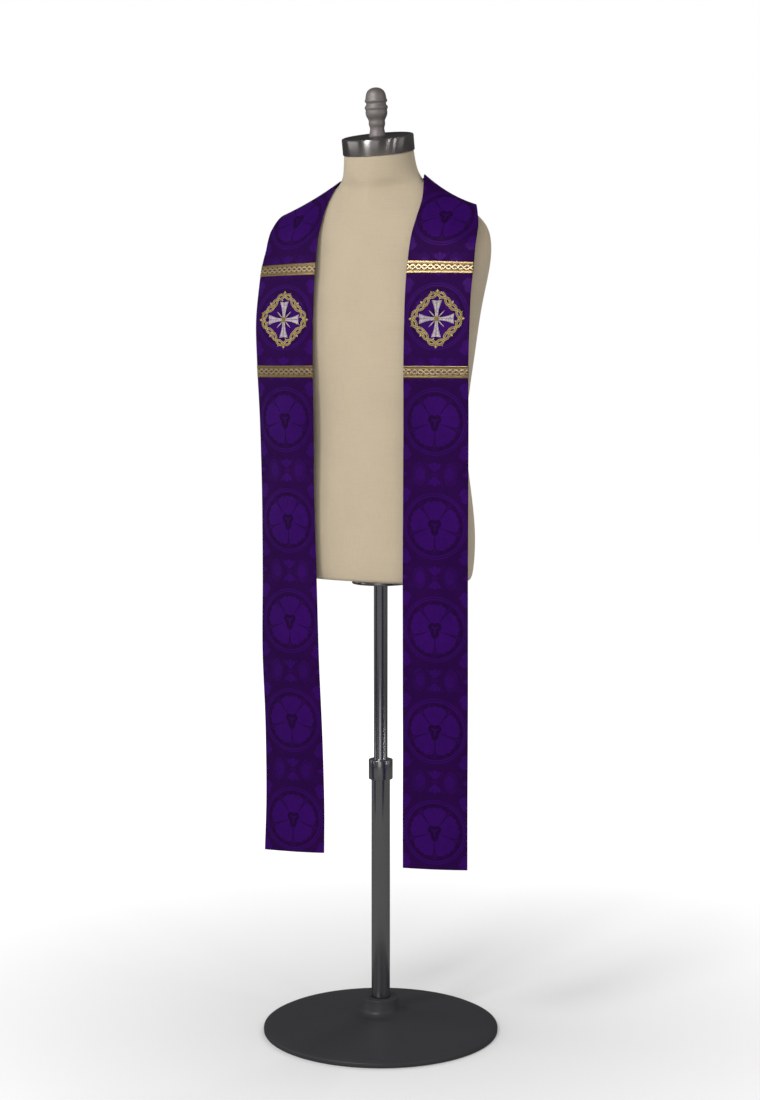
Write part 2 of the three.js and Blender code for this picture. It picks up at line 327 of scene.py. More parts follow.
def fill_patina(graph: Graph, given: dict) -> dict:
    """Fills the Patina group: a slow cloudiness and a fine grain over metal or paint."""
    slow = graph.cloud(given["Vector"], 9.0, 3.0)
    fine = graph.cloud(given["Vector"], 900.0, 2.0)
    return {"Cloud": slow, "Grain": fine}


PATINA = Group(
    "Patina", (("Vector", "Vector"),), (("Cloud", "Float"), ("Grain", "Float")), fill_patina
)


# ---------------------------------------------------------------- the damask's pattern


@dataclass(frozen=True)
class Repeat:
    """The damask's repeat, in millimetres: a rose in a double ring, then a leaf figure."""

    length: float = 181.5
    rise: float = 4.0
    ring: float = 57.3
    inner_ring: float = 53.0
    petal_reach: float = 43.6
    leaf_out: float = 28.0

    def petals(self, graph: Graph, point: object, radius: Field) -> tuple[Field, Field, Field]:
        """Draws the five petals.

        Args:
            graph: The graph to draw in.
            point: The place on the flat cloth, from the roundel's centre.
            radius: The distance from there.

        Returns:
            The masks of the petals, of the fine lines in them and of the gaps between them.
        """
        x, y, _ = graph.split(point)
        fifth = 2 * math.pi / 5
        angle = abs(graph.math("WRAP", graph.math("ARCTAN2", x, y), fifth / 2, -fifth / 2))
        side = graph.sine(angle) * radius
        reach = graph.cosine(angle) * radius
        # the notched rim: five scallops to a petal, cut back where two petals meet
        scallop = abs(graph.cosine(angle * 12.5)) * 2.7
        from_gap = graph.sine(fifth / 2 - angle) * radius
        corner = graph.most(12.0 - from_gap, 0.0)
        rim = radius - self.petal_reach - scallop + 1.2 + corner * corner * 0.068
        slit = 0.45 + graph.most(radius - 24.0, 0.0) * 0.11
        petals = graph.inside(rim) * graph.inside(slit - from_gap)
        # veins fan from the root, and one runs up the middle
        fan = graph.math("WRAP", angle * radius - (radius - 14.0) * 0.1, 4.6, 0.0)
        veins = graph.line(fan, 2.3, 0.32, 0.7) * graph.inside(abs(radius - 28.0), 8.5, 5.0)
        middle = graph.inside(side, 0.7) * graph.inside(abs(reach - 31.0), 6.0)
        turn = graph.line(rim, -3.2, 0.3) * 0.5
        lines = graph.most(veins * 0.75, middle * 0.8, turn)
        stroke = graph.inside(from_gap, 1.5, 0.8) * graph.inside(abs(radius - 27.0), 10.0, 3.0)
        return petals, lines, stroke

    def rose(self, graph: Graph, point: object) -> dict[str, Field]:
        """Draws the roundel about its own centre.

        Args:
            graph: The graph to draw in.
            point: The place on the flat cloth, from the roundel's centre.

        Returns:
            The masks of the satin figure and of its darkest parts, and the distance from the centre.
        """
        x, y, _ = graph.split(point)
        radius = graph.math("SQRT", x * x + y * y)
        petals, lines, stroke = self.petals(graph, point, radius)
        fifth = 2 * math.pi / 5
        angle = graph.math("WRAP", graph.math("ARCTAN2", x, y) + fifth / 2, fifth / 2, -fifth / 2)
        tip = graph.join(
            abs(graph.sine(angle)) * radius, graph.cosine(angle) * radius
        )
        sepal = graph.least(
            graph.oval(tip, (0.0, 42.4), (1.1, 4.2)), graph.oval(tip, (4.6, 46.4), (4.6, 0.9), -20.0)
        )
        rings = graph.most(
            graph.line(radius, self.ring, 0.8),
            graph.line(radius, self.inner_ring, 1.0),
            graph.line(radius, (self.ring + self.inner_ring) / 2, 1.9) * 0.12,
        )
        # the eye of the rose is a plain drop with a bud in it
        drop = graph.least(
            graph.oval(graph.join(abs(x), y), (5.2, 4.6), (7.0, 7.2)),
            graph.oval(point, (0.0, -3.5), (7.6, 13.0)),
        )
        bud = graph.most(
            graph.line(drop, -1.7, 0.3) * 0.3,
            graph.inside(graph.oval(point, (0.0, -2.4), (1.5, 7.4))),
            graph.inside(graph.oval(graph.join(abs(x), y), (3.6, 3.4), (3.6, 1.5), 32.0)),
        )
        eye = graph.inside(drop)
        figure = petals * (1.0 - lines * 0.8)
        figure = graph.most(figure, graph.inside(sepal) * 0.6, rings)
        figure = graph.between(eye, figure, bud * 0.6)
        patches = abs(graph.sine(angle * 7.5)) * 0.55 + 0.15
        moat = graph.line(radius, 47.2, 2.6, 3.2) * (1.0 - petals) * patches
        dark = graph.most(eye * (1.0 - bud) * 0.85, moat, stroke * 0.4)
        return {"figure": figure, "dark": dark, "radius": radius}

    def leaves(self, graph: Graph, point: object) -> Field:
        """Draws the leaf figure that stands between two roundels, folded into one quarter."""
        x, y, _ = graph.split(point)
        bell = graph.least(
            graph.oval(point, (0.0, 13.0), (5.4, 7.6)),
            graph.oval(point, (6.4, 13.4), (3.4, 5.8), -34.0),
            graph.oval(point, (0.0, 6.6), (4.4, 2.0)),
        )
        notch = graph.inside(graph.oval(point, (3.6, 15.0), (0.5, 4.4), -20.0))
        bars = graph.inside(abs(y - 1.5), 0.6) * graph.inside(x, 6.4)
        away = graph.shifted(point, (self.leaf_out, 0.0))
        far_x, far_y, _ = graph.split(away)
        turn = graph.math("ARCTAN2", far_y, far_x)
        scallops = abs(graph.sine(turn * 5.0)) * 1.1
        body = graph.oval(away, (0.5, 0.0), (11.5, 17.5)) - scallops
        core = graph.oval(away, (-1.0, 0.0), (7.4, 11.0)) - scallops
        rib = graph.most(graph.inside(far_y, 0.5), graph.line(far_y - abs(far_x) * 0.9, 5.0, 0.35))
        leaf = graph.most(
            graph.inside(core) * (1.0 - rib * 0.7),
            graph.inside(body) * 0.38,
            graph.line(body, 0.4, 0.45) * 0.6,
        )
        clasp = graph.line(graph.oval(point, (15.2, 0.0), (3.6, 19.0)), 0.0, 0.5) * graph.inside(x, 15.5)
        scroll = graph.most(
            graph.line(graph.oval(point, (43.5, 14.5), (6.0, 5.0)), 0.0, 0.55),
            graph.inside(graph.oval(point, (43.5, 14.5), (2.0, 1.7))),
        )
        corner = graph.least(
            graph.oval(point, (57.5, 38.0), (9.6, 12.5), 12.0),
            graph.oval(point, (49.5, 30.5), (3.4, 8.0), 40.0),
            graph.oval(point, (60.0, 0.0), (9.0, 4.4)),
        )
        fold = graph.line(corner, -3.4, 0.4) * 0.6
        return graph.most(
            graph.inside(bell) * (1.0 - notch * 0.8),
            bars * 0.8,
            leaf * 0.9,
            clasp * 0.5,
            scroll * 0.5,
            graph.inside(corner, blur=1.0) * (1.0 - fold) * 0.9,
        )

    def fill(self, graph: Graph, given: dict) -> dict:
        """Fills the Damask group from the place on the flat cloth in millimetres."""
        x, y, _ = graph.split(given["Vector"])
        half = self.length / 2
        along = graph.math("WRAP", y - self.rise, half, -half)
        rose = self.rose(graph, graph.join(x, along))
        quarter = graph.join(abs(x), half - abs(along))
        outside = graph.inside(self.ring + 1.4 - rose["radius"])
        leaves = self.leaves(graph, quarter) * outside
        return {"Figure": graph.most(rose["figure"], leaves), "Dark": rose["dark"]}

    def group(self) -> Group:
        """Gives the Damask group."""
        return Group(
            "Damask", (("Vector", "Vector"),), (("Figure", "Float"), ("Dark", "Float")), self.fill
        )


# ---------------------------------------------------------------- finishes


def material(name: str) -> tuple[bpy.types.Material, Graph, bpy.types.Node]:
    """Starts a material.

    Args:
        name: The material's name.

    Returns:
        The material, its graph and its Principled shader.
    """
    made = bpy.data.materials.new(name)
    made.use_nodes = True
    graph = Graph(made.node_tree)
    shader = graph.node("BsdfPrincipled")
    graph.feed(graph.node("OutputMaterial").inputs["Surface"], shader.outputs[0])
    return made, graph, shader


def on_uv(graph: Graph, name: str, scale: float = 1.0 / MM) -> bpy.types.NodeSocket:
    """Gives the place on a named UV map, in millimetres unless another scale is given."""
    made = graph.node("UVMap", uv_map=name)
    return graph.scaled(made.outputs[0], scale)


@dataclass(frozen=True)
class Brocade:
    """Purple damask: satin figures on a duller ground."""

    ground: Colour = (0.0205, 0.0009, 0.056)
    figure: Colour = (0.0340, 0.0021, 0.118)
    dark: Colour = (0.0140, 0.0006, 0.033)
    thread: float = 0.42

    def made(self, repeat: Repeat) -> bpy.types.Material:
        """Makes the material, which reads the Flat UV map."""
        made, graph, shader = material("Brocade")
        place = on_uv(graph, "Flat")
        drawn = repeat.group().placed(graph, Vector=place)
        weave = WEAVE.placed(graph, Vector=place, Warp_Pitch=self.thread, Weft_Pitch=self.thread)
        lustre = graph.cloud(place, 0.012, 3.0)
        mottle = graph.cloud(place, 0.09, 3.0)
        figure = drawn["Figure"]
        colour = graph.mixed(figure * (0.44 + mottle * 1.12), self.ground, self.figure)
        colour = graph.mixed(drawn["Dark"], colour, self.dark)
        shade = 0.5 + lustre * 0.6 + weave["Slub"] * 0.4
        graph.feed(shader.inputs["Base Color"], graph.scaled(colour, shade))
        graph.feed(shader.inputs["Roughness"], graph.between(figure, 0.62, 0.40))
        relief = figure * 0.8 + weave["Height"] * 0.45
        graph.feed(shader.inputs["Normal"], graph.bump(relief, 0.00012, 0.6))
        shader.inputs["IOR"].default_value = 1.28
        shader.inputs["Specular Tint"].default_value = (0.70, 0.30, 1.0, 1.0)
        shader.inputs["Sheen Weight"].default_value = 0.05
        shader.inputs["Sheen Roughness"].default_value = 0.4
        shader.inputs["Sheen Tint"].default_value = (0.45, 0.12, 0.9, 1.0)
        return made


@dataclass(frozen=True)
class PlainBack:
    """The plain purple cloth of the stole's underside."""

    colour: Colour = (0.03, 0.006, 0.085)
    thread: float = 0.3

    def made(self) -> bpy.types.Material:
        """Makes the material, which reads the Flat UV map."""
        made, graph, shader = material("Plain back")
        place = on_uv(graph, "Flat")
        weave = WEAVE.placed(graph, Vector=place, Warp_Pitch=self.thread, Weft_Pitch=self.thread)
        low, high = toned(self.colour, 0.7), toned(self.colour, 1.3)
        colour = graph.mixed(weave["Slub"], low, high)
        graph.feed(shader.inputs["Base Color"], colour)
        graph.feed(shader.inputs["Roughness"], 0.5 + weave["Slub"] * 0.2)
        graph.feed(shader.inputs["Normal"], graph.bump(weave["Height"], 0.00008, 0.5))
        shader.inputs["Specular IOR Level"].default_value = 0.35
        return made


def toned(colour: Colour, amount: float) -> Colour:
    """Gives a colour made lighter or darker by a plain factor."""
    return tuple(part * amount for part in colour)


@dataclass(frozen=True)
class Plait:
    """The galloon's woven plait of two crossing strands, in millimetres."""

    pitch: float = 10.85
    swing: float = 3.3
    strand: float = 1.2
    field_half: float = 6.7

    def strands(self, across: float, up: float) -> float:
        """Gives how far the plait stands up at a place, from 0 to 1."""
        wave = self.swing * math.sin(math.pi * across / self.pitch)
        near = min(abs(up - wave), abs(up + wave))
        return max(0.0, 1.0 - (near / self.strand) ** 2)


@dataclass(frozen=True)
class Galloon:
    """Woven metallic galloon: plain borders and a plait over a darker field."""

    border: Colour = (0.66, 0.46, 0.20)
    pale: Colour = (0.84, 0.67, 0.40)
    olive: Colour = (0.22, 0.13, 0.05)
    shadow: Colour = (0.085, 0.03, 0.028)

    def made(self, plait: Plait) -> bpy.types.Material:
        """Makes the material, which reads the Flat UV map: across, and up from the middle."""
        made, graph, shader = material("Galloon")
        place = on_uv(graph, "Flat")
        x, y, _ = graph.split(place)
        wave = graph.sine(x * (math.pi / plait.pitch)) * plait.swing
        near = graph.least(abs(y - wave), abs(y + wave))
        strands = graph.inside(near, plait.strand, 0.5)
        up = abs(y)
        inner = graph.inside(up, plait.field_half, 0.4)
        eye = graph.inside(graph.math("DIVIDE", up, abs(wave) + 0.01), 0.62, 0.3)
        pit = graph.inside(graph.most(abs(wave) * 1.1, abs(up - 3.9)), 1.5, 0.7)
        # the field's own fine twill, and single picks painted pale as glints, which are also smoother
        twill = graph.math("WRAP", x + y, 1.5, 0.0)
        twill = graph.inside(abs(twill - 0.75), 0.42, 0.3)
        specks = graph.cloud(graph.join(x * 1.1, y * 2.4), 1.0, 1.0)
        painted_glints = graph.inside(0.58 - specks, 0.0, 0.05)
        rows = graph.sine(y * (2 * math.pi / 0.6)) * 0.5 + 0.5
        picks = graph.sine(x * (2 * math.pi / 0.7)) * 0.5 + 0.5
        back = graph.mixed(twill * 0.35, self.olive, self.border)
        back = graph.mixed(graph.most(eye, pit), back, self.shadow)
        cloth = graph.mixed(strands, back, self.pale)
        edge = graph.mixed(graph.inside(specks, 0.45, 0.1) * 0.75, self.border, self.olive)
        colour = graph.mixed(inner, edge, cloth)
        groove = graph.line(up, plait.field_half + 0.1, 0.35, 0.4)
        colour = graph.mixed(groove * 0.7, colour, self.olive)
        # painted glints: single picks mixed towards the pale gold
        colour = graph.mixed(painted_glints * 0.5, colour, self.pale)
        solid = graph.most(1.0 - inner, strands)
        graph.feed(shader.inputs["Base Color"], graph.scaled(colour, 0.7 + rows * picks * 0.5))
        graph.feed(shader.inputs["Metallic"], graph.between(solid, 0.5, 1.0))
        graph.feed(shader.inputs["Roughness"], graph.between(specks, 0.2, 0.38))
        relief = graph.between(solid, twill + rows, picks * 0.5 + rows * 0.5) + strands
        graph.feed(shader.inputs["Normal"], graph.bump(relief, 0.00007, 0.8))
        return made


@dataclass(frozen=True)
class Thread:
    """Shiny embroidery thread, with each stitch its own shade."""

    name: str
    light: Colour
    deep: Colour
    metallic: float

    def made(self) -> bpy.types.Material:
        """Makes the material, which reads the Shade attribute of the stitches."""
        made, graph, shader = material(self.name)
        shade = Field(graph, graph.node("Attribute", attribute_name="Shade").outputs["Fac"])
        twist = graph.cloud(graph.node("TexCoord").outputs["Object"], 2600.0, 1.0)
        colour = graph.mixed(shade, self.deep, self.light)
        graph.feed(shader.inputs["Base Color"], graph.scaled(colour, 0.8 + twist * 0.4))
        graph.feed(shader.inputs["Roughness"], 0.3 + twist * 0.2)
        graph.feed(shader.inputs["Normal"], graph.bump(twist, 0.00008, 0.5))
        shader.inputs["Metallic"].default_value = self.metallic
        return made


@dataclass(frozen=True)
class Linen:
    """The form's cream linen cover."""

    colour: Colour = (0.60, 0.50, 0.355)
    thread: float = 0.9

    def made(self) -> bpy.types.Material:
        """Makes the material, which reads the Wrap UV map."""
        made, graph, shader = material("Linen")
        place = on_uv(graph, "Wrap")
        weave = WEAVE.placed(graph, Vector=place, Warp_Pitch=self.thread, Weft_Pitch=self.thread)
        soil = graph.cloud(place, 0.011, 4.0)
        low, high = toned(self.colour, 0.88), toned(self.colour, 1.1)
        colour = graph.mixed(weave["Slub"], low, high)
        graph.feed(shader.inputs["Base Color"], graph.scaled(colour, 0.93 + soil * 0.14))
        shader.inputs["Roughness"].default_value = 0.88
        shader.inputs["Sheen Weight"].default_value = 0.15
        shader.inputs["Specular IOR Level"].default_value = 0.25
        graph.feed(shader.inputs["Normal"], graph.bump(weave["Height"] + weave["Slub"], 0.0002, 0.5))
        return made


@dataclass(frozen=True)
class Metal:
    """A metal or painted part, brushed along the way it was turned if asked."""

    name: str
    colour: Colour
    roughness: float
    metallic: float
    brushed: float = 0.0
    grain: float = 0.0
    anisotropic: float = 0.0

    def made(self) -> bpy.types.Material:
        """Makes the material, which reads the Wrap UV map and Object coordinates."""
        made, graph, shader = material(self.name)
        patina = PATINA.placed(graph, Vector=graph.node("TexCoord").outputs["Object"])
        low, high = toned(self.colour, 0.86), toned(self.colour, 1.12)
        graph.feed(shader.inputs["Base Color"], graph.mixed(patina["Cloud"], low, high))
        shader.inputs["Metallic"].default_value = self.metallic
        shader.inputs["Anisotropic"].default_value = self.anisotropic
        shader.inputs["Anisotropic Rotation"].default_value = 0.25
        around, up, _ = graph.split(on_uv(graph, "Wrap"))
        strokes = graph.cloud(graph.join(around * 0.02, up * 6.0), 1.0, 3.0)
        rough = self.roughness * 0.8 + patina["Cloud"] * self.roughness * 0.4
        graph.feed(shader.inputs["Roughness"], rough + strokes * (self.brushed * 0.2))
        height = strokes * self.brushed + patina["Grain"] * self.grain
        graph.feed(shader.inputs["Normal"], graph.bump(height, 0.00006, 0.6))
        return made


@dataclass
class Finishes:
    """Every finish of the object, made once."""

    repeat: Repeat = Repeat()
    plait: Plait = Plait()

    def __post_init__(self) -> None:
        """Makes the materials."""
        self.brocade = Brocade().made(self.repeat)
        self.plain_back = PlainBack().made()
        self.galloon = Galloon().made(self.plait)
        self.gold = Thread("Gold thread", (0.66, 0.46, 0.11), (0.22, 0.135, 0.028), 0.3).made()
        self.pale_gold = Thread("Pale gold thread", (1.0, 0.88, 0.50), (0.80, 0.64, 0.28), 0.3).made()
        self.silver = Thread("Silver thread", (0.95, 0.86, 0.88), (0.56, 0.47, 0.50), 0.35).made()
        self.linen = Linen().made()
        self.cap_band = Metal(
            "Brushed steel", (0.66, 0.62, 0.60), 0.31, 1.0, brushed=0.2, anisotropic=0.96
        ).made()
        # the cap's top is the same steel, with its colour painted dark as a painted reflection of dark
        # surroundings
        self.painted_dark_cap_top = Metal("Steel top painted dark", (0.12, 0.105, 0.112), 0.34, 0.8, brushed=0.4).made()
        self.cast = Metal("Cast metal", (0.44, 0.40, 0.385), 0.62, 0.85, grain=1.2).made()
        self.chrome = Metal("Pole steel", (0.62, 0.62, 0.63), 0.22, 1.0, brushed=0.15).made()
        self.paint = Metal("Base paint", (0.045, 0.045, 0.05), 0.42, 0.0, grain=1.5).made()


# ---------------------------------------------------------------- mesh tools


def new_piece(
    name: str,
    shape: bmesh.types.BMesh,
    finishes: Sequence[bpy.types.Material],
    replaced: Sequence[str],
) -> bpy.types.Object:
    """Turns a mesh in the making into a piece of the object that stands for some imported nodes.

    Args:
        name: The piece's name.
        shape: The finished bmesh, which is freed.
        finishes: Its materials, in the order of its faces' material numbers.
        replaced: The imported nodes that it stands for.

    Returns:
        The new object.
    """
    mesh = bpy.data.meshes.new(name)
    shape.to_mesh(mesh)
    shape.free()
    for finish in finishes:
        mesh.materials.append(finish)
    mesh.shade_smooth()
    piece = bpy.data.objects.new(name, mesh)
    bpy.context.scene.collection.objects.link(piece)
    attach(piece, "root")
    if replaced:
        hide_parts(*replaced)
    LOG.info("%s: %d faces", name, len(mesh.polygons))
    return piece


def in_order(shape: bmesh.types.BMesh) -> None:
    """Numbers vertices, edges and faces by place. Each face keeps the corner that it starts from."""
    for parts in (shape.verts, shape.edges, shape.faces):
        places = {
            part: sorted(tuple(vert.co) for vert in getattr(part, "verts", (part,)))
            for part in parts
        }
        rank = {part: i for i, part in enumerate(sorted(parts, key=places.get))}
        parts.sort(key=rank.get)
        parts.index_update()


def turned(outline: Sequence[tuple[float, float]], steps: int) -> bmesh.types.BMesh:
    """Turns an outline about +Z, with a Wrap UV map round it.

    Args:
        outline: Rows of radius and height, in metres, from the foot's axis to the top's.
        steps: How many sides the turned shape has.

    Returns:
        The closed shape, still upright at the origin.
    """
    shape = bmesh.new()
    points = [shape.verts.new((radius, 0.0, height)) for radius, height in outline]
    edges = [shape.edges.new(pair) for pair in zip(points, points[1:])]
    bmesh.ops.spin(
        shape, geom=points + edges, cent=(0, 0, 0), axis=(0, 0, 1), angle=2 * math.pi, steps=steps,
        use_merge=True,
    )
    bmesh.ops.remove_doubles(shape, verts=shape.verts, dist=1e-6)
    bmesh.ops.recalc_face_normals(shape, faces=shape.faces)
    in_order(shape)
    # a pass through a plain mesh drops the order in which the spin joined its edges
    draft = bpy.data.meshes.new("turned")
    shape.to_mesh(draft)
    shape.clear()
    shape.from_mesh(draft)
    bpy.data.meshes.remove(draft)
    wrap(shape)
    return shape


def wrap(shape: bmesh.types.BMesh) -> None:
    """Gives a shape a Wrap UV map: the way round +Z, and the way up, in metres."""
    layer = shape.loops.layers.uv.new("Wrap")
    for face in shape.faces:
        middle = face.calc_center_median()
        facing = math.atan2(middle.y, middle.x)
        mean_radius = math.hypot(middle.x, middle.y)
        for loop in face.loops:
            place = loop.vert.co
            angle = math.atan2(place.y, place.x) if place.xy.length > 1e-6 else facing
            angle = facing + (angle - facing + math.pi) % (2 * math.pi) - math.pi
            radial = place.xy.length if abs(face.normal.z) > 0.7 else 0.0
            loop[layer].uv = (angle * max(mean_radius, 0.04), place.z + radial)


def rounded(
    shape: bmesh.types.BMesh, width: float, segments: int = 3, sharper: float = 40.0
) -> None:
    """Bevels the edges of a shape that are sharper than an angle in degrees."""
    sharp = [
        edge for edge in shape.edges
        if len(edge.link_faces) == 2 and edge.calc_face_angle() > math.radians(sharper)
    ]
    bmesh.ops.bevel(
        shape, geom=sharp, offset=width, offset_type="OFFSET", segments=segments, profile=0.5,
        affect="EDGES", material=-1,
    )
    in_order(shape)


def sheet_of(
    cells: tuple[int, int],
    flat: Callable[[float, float], Vector],
    hung: Callable[[float, float], Vector],
    turn_over: bool,
) -> bmesh.types.BMesh:
    """Makes a sheet of even cells, with a Flat UV map of the cloth before it was hung.

    Args:
        cells: How many cells it has across and along.
        flat: Gives the flat place, in millimetres, for a place from -0.5 to 0.5 across and along.
        hung: Gives the place in the object's frame for the same.
        turn_over: Whether its faces have to be turned round to face outwards.

    Returns:
        The open sheet.
    """
    shape = bmesh.new()
    bmesh.ops.create_grid(shape, x_segments=cells[0], y_segments=cells[1], size=0.5)
    layer = shape.loops.layers.uv.new("Flat")
    for face in shape.faces:
        for loop in face.loops:
            loop[layer].uv = flat(loop.vert.co.x, loop.vert.co.y) * MM
    for vert in shape.verts:
        vert.co = hung(vert.co.x, vert.co.y)
    if turn_over:
        bmesh.ops.reverse_faces(shape, faces=shape.faces)
    return shape


# ---------------------------------------------------------------- the stole

FRONT_WIDTH = 119.0  # millimetres, across each straight front


class Side(Enum):
    """The wearer's side on which a half hangs, and which way X runs there."""

    LEFT = 1
    RIGHT = -1


class Section(NamedTuple):
    """A section of the stole, in millimetres and degrees, as in the solid model.

    Only the first differs: there the two halves overlap by 0.2 mm, which closes their seam. The
    inner edge is at x, y, z. Heading is the way the width runs from it (0 outwards, 90 backwards),
    drop is how far that slopes down and crown is how far its middle stands out.
    """

    x: float
    y: float
    z: float
    heading: float
    drop: float
    crown: float
    width: float = FRONT_WIDTH


NAPE = (
    Section(-0.1, 70, 1549, 90, 66, 2, width=98),
    Section(36, 61, 1552, 66, 57, 2, width=104),
    Section(68, 35, 1555, 33, 42, 0, width=113),
)
FRONTS = {
    Side.LEFT: (
        Section(83, 2, 1556, -6, 28, -6),
        Section(93, -27, 1515, -4, 23, -1),
        Section(92, -49, 1481, 0, 17, 2),
        Section(90, -66, 1450, 4, 10, 3),
        Section(89, -80, 1405, 8, 2, 2),
        Section(88, -88, 1350, 6, 0, 1),
        Section(88, -92, 1300, 5, 0, 0),
        Section(88, -95, 1224, 4, 0, 1),
        Section(88, -95, 1128, 5, 0, 3),
        Section(87, -94, 1000, 6, 0, 3),
        Section(85, -91, 850, 7, 0, 2),
        Section(84, -88, 700, 8, 0, 3),
        Section(83, -85, 560, 8, -1, 2),
        Section(82, -83, 430, 8, -2, 2),
        Section(82, -82, 331, 8, -2, 3),
    ),
    Side.RIGHT: (
        Section(82, 2, 1549, -6, 28, -3),
        Section(92, -27, 1511, -4, 23, 0),
        Section(92, -49, 1479, 4, 17, 3),
        Section(91, -66, 1450, 10, 10, 3),
        Section(89, -80, 1405, 9, 2, 2),
        Section(89, -88, 1350, 6, 0, 1),
        Section(89, -92, 1300, 4, 0, 0),
        Section(88, -95, 1224, 6, 0, 2),
        Section(87, -95, 1128, 9, 0, 5),
        Section(87, -94, 1000, 11, 0, 4),
        Section(84, -91, 850, 8, 0, 2),
        Section(81, -88, 700, 4, 0, 4),
        Section(76, -86, 560, 3, 1, 3),
        Section(73, -84, 430, 0, 2, 2),
        Section(74, -83, 342, -3, 2, 4),
    ),
}


class Rail:
    """A smooth line through points, evenly timed from one to the next."""

    def __init__(self, points: Sequence[Vector]) -> None:
        """Adds a point before the first and after the last, straight on."""
        first, second, *_, last_but_one, last = points
        self.points = [2 * first - second, *points, 2 * last - last_but_one]

    def at(self, gap: int, share: float) -> Vector:
        """Gives the place a share of the way along a gap, by a centripetal spline."""
        before, start, end, after = self.points[gap : gap + 4]
        lead, span, trail = (
            max((b - a).length, 1e-9) ** 0.5 for a, b in ((before, start), (start, end), (end, after))
        )
        leave = (start - before) / lead - (end - before) / (lead + span) + (end - start) / span
        arrive = (end - start) / span - (after - start) / (span + trail) + (after - end) / trail
        leave, arrive = leave * span, arrive * span
        rise = -3 * start + 3 * end - 2 * leave - arrive
        curl = 2 * start - 2 * end + leave + arrive
        return start + share * (leave + share * (rise + share * curl))


def towards(angle: float) -> Vector:
    """Gives the flat direction at an angle in radians, anticlockwise from the first axis."""
    return Vector((math.cos(angle), math.sin(angle)))


def left_of(way: Vector) -> Vector:
    """Gives a flat direction turned a quarter to the left."""
    return Vector((-way.y, way.x))


def third_corner(a: Vector, b: Vector, from_a: float, from_b: float) -> Vector:
    """Finds the corner to the left of a line, at two distances from its ends."""
    line = b - a
    along = (from_a**2 - from_b**2 + line.length_squared) / (2 * line.length)
    aside = math.sqrt(max(from_a**2 - along**2, 0.0))
    unit = line.normalized()
    return a + unit * along + left_of(unit) * aside


